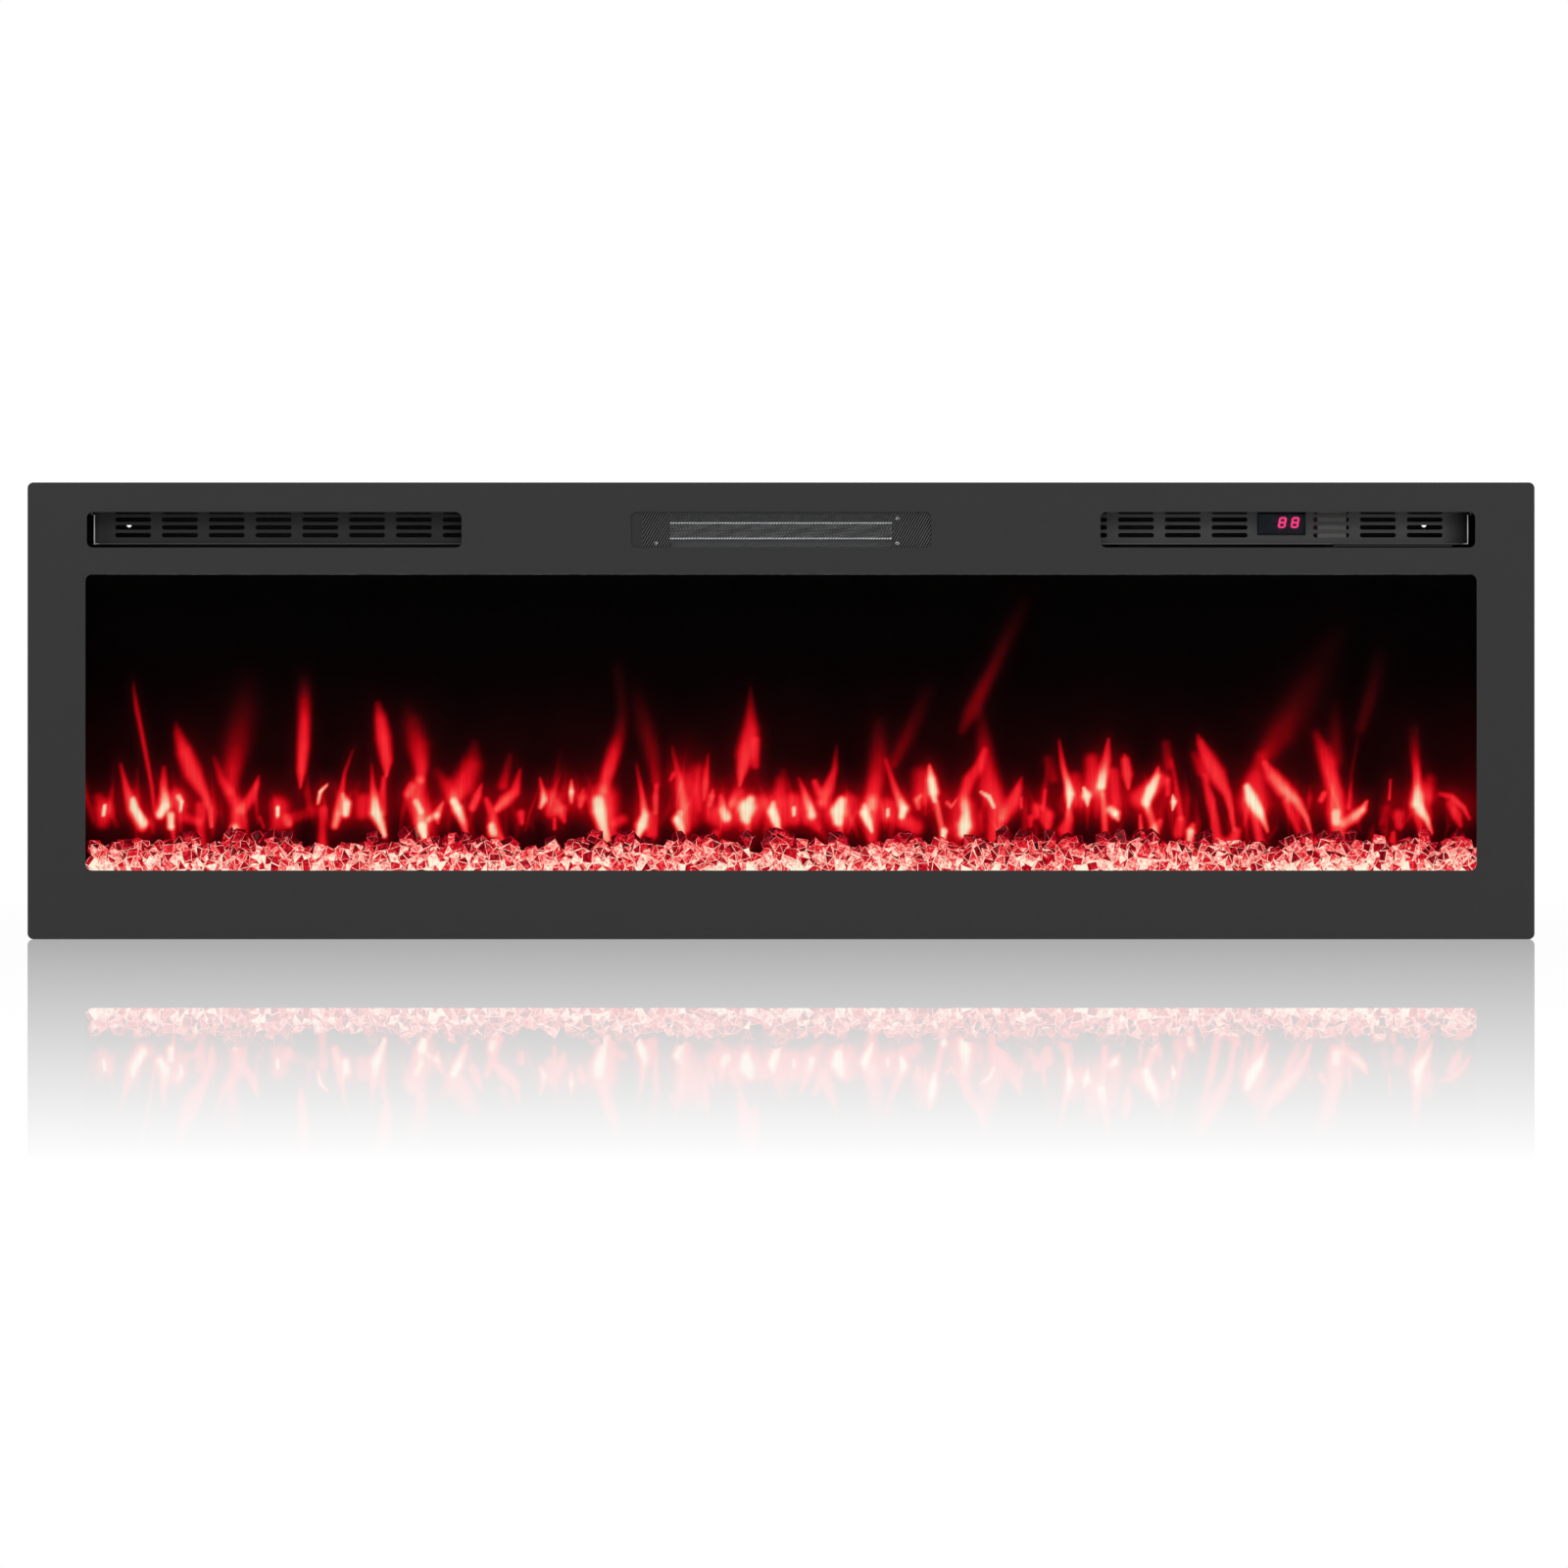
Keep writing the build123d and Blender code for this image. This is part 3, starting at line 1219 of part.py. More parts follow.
# Every piece under its own name
pieces = {
    "front_panel": front_panel.part,
    "window_glass": window_glass.part,
    "glass_clips": glass_clips.part,
    "panel_brackets": panel_brackets.part,
    "top_cover": top_cover.part,
    "base_pan": base_pan.part,
    "left_side_panel": left_side_panel.part,
    "right_side_panel": right_side_panel.part,
    "back_panel": back_panel.part,
    "vent_plate_left": vent_plate_left.part,
    "vent_plate_right": vent_plate_right.part,
    "firebox_ceiling": firebox_ceiling.part,
    "side_liners": side_liners.part,
    "lower_rail": lower_rail.part,
    "flame_screen": flame_screen.part,
    "screen_rails": screen_rails.part,
    "crystal_tray": crystal_tray.part,
    "crystals": crystals,
    "bed_light_board": bed_light_board.part,
    "bed_lamps": bed_lamps.part,
    "flame_light_board": flame_light_board.part,
    "flame_lamps": flame_lamps.part,
    "flame_mask": flame_mask.part,
    "flame_shaft": flame_shaft.part,
    "flame_foils": flame_foils.part,
    "shaft_coupling": shaft_coupling.part,
    "motor_spindle": motor_spindle.part,
    "shaft_stands": shaft_stands.part,
    "shaft_bushes": shaft_bushes.part,
    "motor_bracket": motor_bracket.part,
    "flame_motor": flame_motor.part,
    "outlet_mesh": outlet_mesh.part,
    "heater_duct": heater_duct.part,
    "heating_element": heating_element.part,
    "element_caps": element_caps.part,
    "blower_scroll": blower_scroll.part,
    "blower_end_plates": blower_end_plates.part,
    "blower_wheel": blower_wheel.part,
    "blower_shaft": blower_shaft.part,
    "blower_bush": blower_bush.part,
    "blower_motor": blower_motor.part,
    "overheat_cutout": overheat_cutout.part,
    "display_lens": display_lens.part,
    "display_digits": display_digits.part,
    "display_board": display_board.part,
    "display_bracket": display_bracket.part,
    "control_strip": control_strip.part,
    **keys,
    "main_board": main_board.part,
    "transformer": transformer.part,
    "relays": relays.part,
    "heater_leads": heater_leads.part,
    "cord_gland": cord_gland.part,
    "switch_body": switch_body.part,
    "power_rocker": power_rocker.part,
    "screws": screws.part,
}
os.makedirs("parts", exist_ok=True)
for name, piece in pieces.items():
    piece.label = name
    export_step(piece, os.path.join("parts", name + ".step"))
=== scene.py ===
"""Looks of a wall-recessed electric fireplace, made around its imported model."""

import json
import math

import bmesh
import bpy
import numpy as np
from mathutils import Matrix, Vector


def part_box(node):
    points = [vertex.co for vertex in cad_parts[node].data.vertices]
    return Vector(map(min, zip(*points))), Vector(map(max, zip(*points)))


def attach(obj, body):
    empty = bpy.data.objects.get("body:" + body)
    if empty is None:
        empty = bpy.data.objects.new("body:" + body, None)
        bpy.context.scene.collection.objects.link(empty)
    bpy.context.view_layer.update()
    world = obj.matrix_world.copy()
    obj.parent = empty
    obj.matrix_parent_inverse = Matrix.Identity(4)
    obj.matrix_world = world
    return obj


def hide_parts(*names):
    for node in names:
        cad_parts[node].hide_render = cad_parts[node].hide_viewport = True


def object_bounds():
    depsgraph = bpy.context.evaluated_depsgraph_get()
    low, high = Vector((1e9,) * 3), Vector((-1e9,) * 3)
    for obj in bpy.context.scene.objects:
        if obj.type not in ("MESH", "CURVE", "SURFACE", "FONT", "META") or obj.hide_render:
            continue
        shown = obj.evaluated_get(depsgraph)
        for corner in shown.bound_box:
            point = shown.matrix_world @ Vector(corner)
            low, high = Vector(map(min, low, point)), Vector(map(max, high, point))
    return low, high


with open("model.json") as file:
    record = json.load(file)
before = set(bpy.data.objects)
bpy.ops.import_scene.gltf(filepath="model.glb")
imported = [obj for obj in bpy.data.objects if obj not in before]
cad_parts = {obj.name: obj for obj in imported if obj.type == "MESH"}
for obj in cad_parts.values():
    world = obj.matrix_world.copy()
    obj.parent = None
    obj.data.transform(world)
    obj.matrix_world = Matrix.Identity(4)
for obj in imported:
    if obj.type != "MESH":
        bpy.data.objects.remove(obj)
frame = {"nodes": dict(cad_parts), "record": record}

bl_info = {
    "name": "Electric fireplace looks",
    "version": (1, 0, 0),
    "blender": (4, 5, 0),
    "location": "View3D > Sidebar > Fireplace",
    "description": "Dresses the packed model of an electric fireplace: flames, crystals and finishes",
    "category": "Object",
}

CAD_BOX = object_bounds()
MM = 0.001
SEED = 7
# Most of a noise pattern lies between these values.
NOISE_SPAN = {"From Min": 0.3, "From Max": 0.7}


def linear(hex_code):
    """Linear red, green, blue and alpha of an sRGB hex colour."""
    parts = [int(hex_code[i:i + 2], 16) / 255 for i in (1, 3, 5)]
    return tuple(c / 12.92 if c <= 0.04045 else ((c + 0.055) / 1.055) ** 2.4 for c in parts) + (1.0,)


def add(tree, kind, settings=None, inputs=None):
    """Adds a node with its settings, and its inputs as plain values or as what to link from.

    A link comes from a socket, or from the first output of a node.
    """
    node = tree.nodes.new(kind)
    for name, value in (settings or {}).items():
        if name == "stops":
            while len(node.color_ramp.elements) < len(value):
                node.color_ramp.elements.new(0.5)
            for element, (position, colour) in zip(node.color_ramp.elements, value):
                element.position = position
                element.color = colour
        else:
            setattr(node, name, value)
    for key, value in (inputs or {}).items():
        if isinstance(value, bpy.types.Node):
            value = value.outputs[0]
        if isinstance(value, bpy.types.NodeSocket):
            tree.links.new(value, node.inputs[key])
        else:
            node.inputs[key].default_value = value
    return node


def colour_property(label, description, hex_code):
    """A colour that a user can change, with its default as an sRGB hex value."""
    return bpy.props.FloatVectorProperty(
        name=label, description=description, default=linear(hex_code), subtype="COLOR", size=4, min=0, max=1
    )


def number_property(label, description, value, **more):
    """A number that a user can change, with its unit, subtype or limits."""
    return bpy.props.FloatProperty(name=label, description=description, default=value, **more)


def length_property(label, description, millimetres):
    """A length that a user can change, with its default in millimetres."""
    return number_property(label, description, millimetres * MM, min=0, unit="LENGTH", precision=5)


class FireplaceColours(bpy.types.PropertyGroup):
    """Colours of the fireplace."""

    panel: colour_property("Panel", "Powder coat of the front panel and the vent plates", "#303031")
    # The plate edge colour is partly bare steel and partly a painted highlight.
    plate_edge: colour_property("Plate edge", "Bare cut edge of the vent plates", "#c4c4c4")
    chassis: colour_property("Chassis", "Powder coat of the box behind the panel", "#1b1b1c")
    flame_core: colour_property("Flame core", "Hottest part of a flame", "#fef0ce")
    flame_body: colour_property("Flame body", "Main colour of the flames", "#de0e1e")
    flame_haze: colour_property("Flame haze", "Dim light between the flames", "#3c0205")
    crystal_pale: colour_property("Crystal glints", "Light that gathers low in the crystals", "#ffbcae")
    crystal_deep: colour_property("Crystal depth", "Red seen inside the crystals", "#a80016")
    digits: colour_property("Digits", "Light of the display's digits", "#ff3a64")
    # The strands' grey is paler than their real coat: a painted highlight on their rounded tops.
    strands: colour_property("Outlet mesh", "Coat of the mesh strands", "#595959")


class FireplaceSizes(bpy.types.PropertyGroup):
    """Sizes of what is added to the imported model."""

    strand_pitch: length_property("Strand pitch", "Spacing of the outlet mesh's strands", 2.75)
    strand_width: length_property("Strand width", "Width of a mesh strand", 0.9)
    strand_lean: number_property("Strand lean", "Slope of a strand", math.radians(60), subtype="ANGLE")
    screen_step: length_property("Screen step", "Width of one cell of the flame picture", 1.55)
    stone_size: length_property("Crystal size", "Mean size of one crystal", 21)
    stone_pitch: length_property("Crystal spacing", "Spacing of the crystals along the bed", 15.5)
    stone_rim: number_property("Crystal rim", "Share of a facet that its rim leaves", 0.9, min=0, max=1)
    recess_width: number_property("Recess width", "Cross recess, as a share of the head's radius", 0.28)
    recess_depth: number_property("Recess depth", "Cross recess, as a share of the head's height", 0.55)


class FireplaceStage(bpy.types.PropertyGroup):
    """Floor, light and camera."""

    floor_reach: number_property("Floor reach", "Half the floor's side", 40, unit="LENGTH")
    view_distance: number_property("View distance", "From the camera to the panel", 5.0, unit="LENGTH")
    view_width: number_property("View width", "Width of the frame at the panel", 1.5854, unit="LENGTH")
    view_height: number_property("View height", "Height of the camera", -0.074, unit="LENGTH")
    key_power: number_property("Key lights", "Power of each high light", 58, unit="POWER")
    side_power: number_property("Side lights", "Power of each side light", 27, unit="POWER")
    fill: number_property("Fill", "Strength of the light from all round", 0.34)


def surface(name, pale, deep, grain, rough, relief=0.0, stretch=(1, 1, 1), cells=False, sockets=None):
    """A material whose colour, roughness and relief follow one pattern of a real grain size.

    pale and deep are hex or linear colours, grain and relief are lengths in metres, rough is (lowest,
    highest) and cells takes a pattern of crystal grains instead of a cloudy one.
    """
    pale, deep = (linear(colour) if isinstance(colour, str) else colour for colour in (pale, deep))
    material = bpy.data.materials.new(name)
    material.use_nodes = True
    tree = material.node_tree
    shader = tree.nodes["Principled BSDF"]
    for socket, value in (sockets or {}).items():
        shader.inputs[socket].default_value = value
    place = add(tree, "ShaderNodeTexCoord").outputs["Object"]
    mapping = add(tree, "ShaderNodeMapping", inputs={"Vector": place, "Scale": stretch})
    kind = "ShaderNodeTexVoronoi" if cells else "ShaderNodeTexNoise"
    pattern = add(tree, kind, inputs={"Vector": mapping, "Scale": 1 / grain})
    height = pattern.outputs["Color"] if cells else pattern.outputs[0]
    tint = add(tree, "ShaderNodeValToRGB", {"stops": [(0.25, deep), (0.75, pale)]}, {"Fac": height})
    tree.links.new(tint.outputs["Color"], shader.inputs["Base Color"])
    gloss = add(
        tree, "ShaderNodeMapRange", inputs={"Value": height, "To Min": rough[0], "To Max": rough[1]}
    )
    tree.links.new(gloss.outputs["Result"], shader.inputs["Roughness"])
    if relief:
        bump = add(tree, "ShaderNodeBump", inputs={"Height": height, "Distance": relief})
        tree.links.new(bump.outputs["Normal"], shader.inputs["Normal"])
    return material


def shade(colour, share):
    """A linear colour made darker or lighter by a share."""
    return tuple(min(1.0, c * share) for c in colour[:3]) + (1.0,)


def colour_over(material, share, colour):
    """Lays a colour over a finish, by a share from 0 to 1 at each point: real marks and painted light and
    shade alike.
    """
    tree = material.node_tree
    base = tree.nodes["Principled BSDF"].inputs["Base Color"]
    mixed = add(
        tree, "ShaderNodeMix", {"data_type": "RGBA"}, {0: share, 6: base.links[0].from_socket, 7: colour}
    )
    tree.links.new(mixed.outputs[2], base)


def object_place(tree):
    """A point's place on the object, and the same as X, Y and Z, in metres."""
    place = add(tree, "ShaderNodeTexCoord").outputs["Object"]
    return place, add(tree, "ShaderNodeSeparateXYZ", inputs={"Vector": place}).outputs


def seen_directly(tree):
    """1 where a ray comes from the viewer, a mirror or a pane of glass, and 0 elsewhere."""
    rays = add(tree, "ShaderNodeLightPath").outputs
    seen = rays["Is Camera Ray"]
    for kind in ("Is Glossy Ray", "Is Transmission Ray"):
        seen = add(tree, "ShaderNodeMath", {"operation": "MAXIMUM"}, {0: seen, 1: rays[kind]})
    return seen


# Finishes


def panel_powder_coat(colours, depth=1.0):
    # Polyester powder coat, oven-cured on sheet steel: matt charcoal with a fine orange-peel skin.
    # The skin's bumps are about 0.5 mm and are drawn at 1.5 mm, so that they show.
    matt = {"Specular IOR Level": 0.12}
    # A depth below 1 darkens the coat with painted shade, and one above 1 brightens it with painted light.
    return surface(
        "powder_coat_charcoal", shade(colours.panel, 1.06 * depth), shade(colours.panel, 0.94 * depth),
        1.5 * MM, (0.5, 0.62), relief=0.05 * MM, sockets=matt,
    )


def plate_powder_coat(colours, depth):
    # The same powder coat on thin sheet; its sheared front edges are pale, partly bare steel and partly a
    # painted highlight.
    # Painted shade darkens the plate towards the fold at the right-hand end.
    material = panel_powder_coat(colours, depth)
    material.name = "powder_coat_sheared_sheet"
    tree = material.node_tree
    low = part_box("vent_plate_left")[0]
    end = -low.x
    edge_depth, end_reach, long_edge = 0.4 * MM, 6 * MM, 0.07
    fold_shade_from, fold_shade_full = 26 * MM, 3 * MM
    axes = object_place(tree)[1]
    # Painted highlight, partly bare steel: the front edges take the pale edge colour, fully at the ends and
    # faintly along the bottom.
    cut_edge = add(tree, "ShaderNodeMath", {"operation": "LESS_THAN"}, {0: axes["Y"], 1: low.y + edge_depth})
    aside = add(tree, "ShaderNodeMath", {"operation": "ABSOLUTE"}, {0: axes["X"]})
    edge_highlight = add(
        tree, "ShaderNodeMapRange",
        inputs={"Value": aside, "From Min": end - end_reach, "From Max": end, "To Min": long_edge},
    )
    share = add(tree, "ShaderNodeMath", {"operation": "MULTIPLY"}, {0: cut_edge, 1: edge_highlight})
    # Painted shade: the plate turns dark towards its right-hand end.
    fold_shade = add(
        tree, "ShaderNodeMapRange",
        inputs={"Value": axes["X"], "From Min": end - fold_shade_from, "From Max": end - fold_shade_full},
    )
    colour_over(material, fold_shade, shade(colours.panel, 0.1))
    colour_over(material, share, colours.plate_edge)
    return material


def chassis_black_coat(colours):
    # Epoxy powder coat on folded steel: plain satin black, a little uneven in gloss.
    return surface(
        "powder_coat_black", shade(colours.chassis, 1.15), shade(colours.chassis, 0.85),
        2.2 * MM, (0.42, 0.6), relief=0.06 * MM, sockets={"Specular IOR Level": 0.35},
    )


def lamp_resin(colours):
    # Epoxy lamp body, diffused: milky and lit red from inside.
    return surface(
        "diffused_epoxy_lamp", "#ffd9cf", "#ff8a78", 2 * MM, (0.2, 0.35),
        sockets={"Emission Color": colours.flame_body, "Emission Strength": 1.0},
    )


def mesh_black(colours):
    # Expanded steel mesh, dip-coated: grey strands, their grey paler than the coat as a painted highlight on
    # their rounded tops.
    # The flat border is charcoal.
    material = surface(
        "dip_coated_mesh", shade(colours.strands, 1.15), shade(colours.strands, 0.8), 2 * MM,
        (0.35, 0.5), sockets={"Specular IOR Level": 0.12},
    )
    border = add(material.node_tree, "ShaderNodeAttribute", {"attribute_name": "flat"})
    colour_over(material, border.outputs["Fac"], shade(colours.panel, 0.85))
    return material


def heater_aluminium():
    # Mill-finish aluminium fin stock, folded: bright front edges, darkened by painted shade further in.
    material = surface(
        "mill_aluminium_fins", "#f2f3f4", "#b4b8bb", 2.4 * MM, (0.22, 0.45), sockets={"Metallic": 1.0}
    )
    tree = material.node_tree
    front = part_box("heating_element")[0].y
    bright_to, shaded_from = 0.3 * MM, 2 * MM
    axes = object_place(tree)[1]
    # Painted shade: the fins darken from just behind their front edges.
    fin_shade = add(
        tree, "ShaderNodeMapRange",
        inputs={"Value": axes["Y"], "From Min": front + bright_to, "From Max": front + shaded_from},
    )
    colour_over(material, fin_shade, linear("#383633"))
    return material


def smoked_lens():
    # Moulded polycarbonate with a navy smoke dye: glossy, nearly black until something glows behind it.
    # Its rim is laid near-black, a painted shadow round its edge.
    material = surface(
        "smoked_polycarbonate", "#7684a8", "#6b789a", 8 * MM, (0.04, 0.1),
        sockets={"Transmission Weight": 1.0, "IOR": 1.2},
    )
    tree = material.node_tree
    low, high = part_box("display_lens")
    middle, half = (low + high) / 2, (high - low) / 2
    rim = 1.3 * MM
    place = add(tree, "ShaderNodeTexCoord").outputs["Object"]
    offset = add(tree, "ShaderNodeVectorMath", {"operation": "SUBTRACT"}, {0: place, 1: middle})
    aside = add(tree, "ShaderNodeVectorMath", {"operation": "ABSOLUTE"}, {0: offset})
    past = add(
        tree, "ShaderNodeVectorMath", {"operation": "SUBTRACT"},
        {0: aside, 1: half - Vector((rim, 0, rim))},
    )
    axes = add(tree, "ShaderNodeSeparateXYZ", inputs={"Vector": past}).outputs
    most = add(tree, "ShaderNodeMath", {"operation": "MAXIMUM"}, {0: axes["X"], 1: axes["Z"]})
    edge = add(tree, "ShaderNodeMath", {"operation": "GREATER_THAN"}, {0: most, 1: 0.0})
    # Painted shadow: the lens's rim is laid near-black.
    colour_over(material, edge, linear("#040405"))
    return material


def digit_light(colours):
    # Tinted epoxy bars lit from behind: even pink-red light. What glows isn't sampled as a lamp.
    material = surface(
        "lit_epoxy_bar", colours.digits, shade(colours.digits, 0.85), 1.5 * MM, (0.3, 0.4),
        sockets={"Emission Color": colours.digits, "Emission Strength": 5.0},
    )
    material.cycles.emission_sampling = "NONE"
    return material


def flame_acrylic():
    # Opal-backed black acrylic that the flames are thrown on: dark itself, the picture is light.
    # The turning foils comb the light into upright streaks about 2 mm wide.
    material = surface(
        "flame_screen_acrylic", "#030303", "#010101", 30 * MM, (0.45, 0.6),
        sockets={"Specular IOR Level": 0.0, "Emission Strength": 1.0},
    )
    tree = material.node_tree
    streak_width, drawn_out, dimmest, brightest = 2 * MM, 0.05, 0.84, 1.08
    light = add(tree, "ShaderNodeVertexColor", {"layer_name": "flame_light"})
    place = add(tree, "ShaderNodeTexCoord").outputs["Object"]
    drawn = add(tree, "ShaderNodeMapping", inputs={"Vector": place, "Scale": (1, 1, drawn_out)})
    streak = add(tree, "ShaderNodeTexNoise", inputs={"Vector": drawn, "Scale": 1 / streak_width})
    gain = add(
        tree, "ShaderNodeMapRange",
        inputs={"Value": streak, **NOISE_SPAN, "To Min": dimmest, "To Max": brightest},
    )
    combed = add(
        tree, "ShaderNodeMix", {"data_type": "RGBA", "blend_type": "MULTIPLY"},
        {0: 1.0, 6: light, 7: gain},
    )
    tree.links.new(combed.outputs[2], tree.nodes["Principled BSDF"].inputs["Emission Color"])
    material.cycles.emission_sampling = "NONE"
    return material


def crystal_acrylic(colours):
    # Broken clear acrylic, lit red from below: pale low in the bed, deep red where the light thins out.
    # Each facet shows its own view of the bed behind it, in swirls of about 4 mm.
    material = surface(
        "broken_clear_acrylic", "#3c0a10", "#200406", 3 * MM, (0.03, 0.12),
        sockets={"Emission Strength": 1.0, "Specular IOR Level": 0.04},
    )
    tree = material.node_tree
    swirl_size, bed_height = 4 * MM, 40 * MM
    # Light that each facet, its swirls, the height and the depth give or take, on a scale of 0 to 1.
    facet_gain, swirl_gain, foot_gain, top_loss, back_loss = 0.8, 0.55, 0.1, 0.36, 0.5
    facet_shift, bright_share, dark_share = (0.37, 0.61, 0.83), 0.44, 0.74
    place, axes = object_place(tree)
    facet = add(tree, "ShaderNodeAttribute", {"attribute_name": "facet_light"})
    bent = add(
        tree, "ShaderNodeVectorMath", {"operation": "MULTIPLY_ADD"},
        {0: facet.outputs["Vector"], 1: facet_shift, 2: place},
    )
    swirl = add(
        tree, "ShaderNodeTexNoise",
        inputs={"Vector": bent, "Scale": 1 / swirl_size, "Detail": 3.0, "Distortion": 1.2},
    )
    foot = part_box("crystals")[0].z
    front, back = (corner.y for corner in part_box("crystal_tray"))
    bright_to, dark_from = (front + share * (back - front) for share in (bright_share, dark_share))
    shares = [
        {
            "Value": axes["Z"], "From Min": foot, "From Max": foot + bed_height,
            "To Min": foot_gain, "To Max": -top_loss,
        },
        {"Value": axes["Y"], "From Min": bright_to, "From Max": dark_from, "To Max": -back_loss},
        {"Value": swirl, **NOISE_SPAN, "To Max": swirl_gain},
    ]
    lift, sink, view = (add(tree, "ShaderNodeMapRange", inputs=share) for share in shares)
    lit = facet.outputs["Fac"]
    inside = add(tree, "ShaderNodeMath", {"operation": "MULTIPLY_ADD"}, {0: lit, 1: facet_gain, 2: lift})
    for part in (sink, view):
        inside = add(tree, "ShaderNodeMath", {"operation": "ADD"}, {0: inside, 1: part})
    palette = [
        (0.0, shade(colours.crystal_deep, 0.16)), (0.15, shade(colours.crystal_deep, 0.45)),
        (0.3, colours.crystal_deep), (0.48, linear("#e01226")), (0.62, linear("#f2444c")),
        (0.74, linear("#fb8a80")), (0.85, colours.crystal_pale), (0.93, linear("#ffdcc8")),
        (1.0, linear("#fff4dc")),
    ]
    glow = add(tree, "ShaderNodeValToRGB", {"stops": palette}, {"Fac": inside})
    tree.links.new(glow.outputs["Color"], tree.nodes["Principled BSDF"].inputs["Emission Color"])
    material.cycles.emission_sampling = "NONE"
    return material


def plain_finishes():
    """Finishes that take none of the user's colours, by material slot."""
    metal = {"Metallic": 1.0}
    return {
        "heater_aluminium": heater_aluminium(),
        "smoked_lens": smoked_lens(),
        "flame_acrylic": flame_acrylic(),
        # Hot-dip galvanised sheet: grey zinc grains a few millimetres across, each with its own sheen.
        "galvanised_steel": surface(
            "galvanised_steel_sheet", "#c3c6c8", "#969b9f", 6 * MM, (0.3, 0.5),
            cells=True, sockets=metal,
        ),
        # Thin grey primer on a sheet bracket: flat and chalky, a little streaked by the spray.
        "bracket_grey_coat": surface(
            "grey_primer", "#4c4b49", "#424140", 4 * MM, (0.6, 0.75), stretch=(1, 1, 0.3)
        ),
        # Toughened float glass with an anti-reflection coat: almost no mirror image, a trace of smears.
        "clear_glass": surface(
            "anti_reflective_glass", "#ffffff", "#f6faf8", 60 * MM, (0.0, 0.02),
            sockets={"Transmission Weight": 1.0, "IOR": 1.03},
        ),
        # Extruded clear acrylic tray: see-through, with the soft drawing lines of the extruder.
        "clear_acrylic": surface(
            "extruded_clear_acrylic", "#ffffff", "#f1dfe0", 4 * MM, (0.1, 0.25),
            stretch=(0.05, 1, 1), sockets={"Transmission Weight": 0.9, "IOR": 1.49},
        ),
        # Glass-epoxy circuit board under green solder mask: glossy, with faint traces below the mask.
        "circuit_board": surface(
            "solder_mask_green", "#24583a", "#153f28", 3 * MM, (0.25, 0.4),
            stretch=(1, 0.2, 1), cells=True,
        ),
        # Polished aluminium foil, bent by hand: mirror-like with shallow creases.
        "mirror_foil": surface(
            "polished_aluminium_foil", "#e6e8ea", "#c7cbce", 12 * MM, (0.06, 0.2),
            relief=0.4 * MM, sockets=metal,
        ),
        # Turned and ground steel rod: bright, with fine rings round its axis along X.
        "turned_steel": surface(
            "turned_steel", "#c9cbcd", "#a2a5a8", 1.2 * MM, (0.2, 0.38),
            stretch=(1, 0.1, 0.1), sockets=metal,
        ),
        # Matt black stove paint on thin sheet: no shine, slightly dusty.
        "mask_black": surface("stove_paint_black", "#141414", "#0b0b0b", 5 * MM, (0.75, 0.9)),
        # Sintered bronze: oily brown-gold with visible pores.
        "bush_bronze": surface(
            "sintered_bronze", "#a87c4a", "#7a5630", 0.8 * MM, (0.35, 0.55),
            relief=0.05 * MM, sockets=metal,
        ),
        # Moulded nitrile rubber: dull black with a dry bloom.
        "rubber_black": surface("nitrile_rubber", "#1d1d1d", "#111111", 1.5 * MM, (0.65, 0.85)),
        # Zinc-plated drawn steel can: bluish grey, drawn lines along the can.
        "motor_steel": surface(
            "zinc_plated_can", "#b4b8bc", "#8d9298", 3 * MM, (0.3, 0.48),
            stretch=(0.15, 1, 1), sockets=metal,
        ),
        # Glass-filled nylon, moulded in a spark-eroded tool: black with a fine even grain.
        "black_plastic": surface(
            "moulded_nylon_black", "#1c1c1c", "#121212", 1.0 * MM, (0.4, 0.58),
            relief=0.04 * MM, sockets={"Specular IOR Level": 0.12},
        ),
        # Pressed aluminium blower blades: satin, rolled along their length.
        "wheel_aluminium": surface(
            "rolled_aluminium", "#c8cacc", "#a6a9ac", 2 * MM, (0.3, 0.45),
            stretch=(0.05, 1, 1), sockets=metal,
        ),
        # Moulded ABS, satin: dark grey key tops.
        "key_plastic": surface(
            "moulded_abs_satin", "#2b2c2d", "#222324", 0.9 * MM, (0.38, 0.52), relief=0.03 * MM
        ),
        # Moulded nylon rocker, polished: black with a soft highlight.
        "rocker_plastic": surface("polished_nylon_black", "#151515", "#0d0d0d", 3 * MM, (0.18, 0.3)),
        # Polyester winding tape over a laminated core: black, slightly wrinkled.
        "transformer_tape": surface(
            "polyester_tape_black", "#1c1b19", "#11100f", 3 * MM, (0.6, 0.8),
            relief=0.08 * MM, sockets={"Specular IOR Level": 0.2},
        ),
        # Braided glass-fibre sleeve: chalky white with a fine woven relief.
        "lead_sleeve": surface(
            "glass_fibre_sleeve", "#dcd8cd", "#b9b4a6", 0.8 * MM, (0.7, 0.85), relief=0.1 * MM
        ),
        # Zinc-plated pan-head screws: bright grey with worn recesses.
        "zinc_screw": surface(
            "zinc_plated_screw", "#d0d3d6", "#9fa4a9", 1.5 * MM, (0.22, 0.42), sockets=metal
        ),
    }


# Finishes that take the user's colours, by material slot.
COLOURED_FINISHES = {
    maker.__name__: maker
    for maker in (
        panel_powder_coat, chassis_black_coat, lamp_resin, mesh_black, digit_light, crystal_acrylic,
    )
}


# Pieces


def piece(name, mesh, body, slot, *nodes):
    """An object of a finished mesh: rides on a body and stands for CAD nodes, which it hides. The slot is
    not used.
    """
    made = bpy.data.objects.new(name, mesh)
    bpy.context.scene.collection.objects.link(made)
    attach(made, body)
    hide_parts(*nodes)
    return made


def finish_of(node):
    """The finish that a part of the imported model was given."""
    return frame["nodes"][node].data.materials[0]


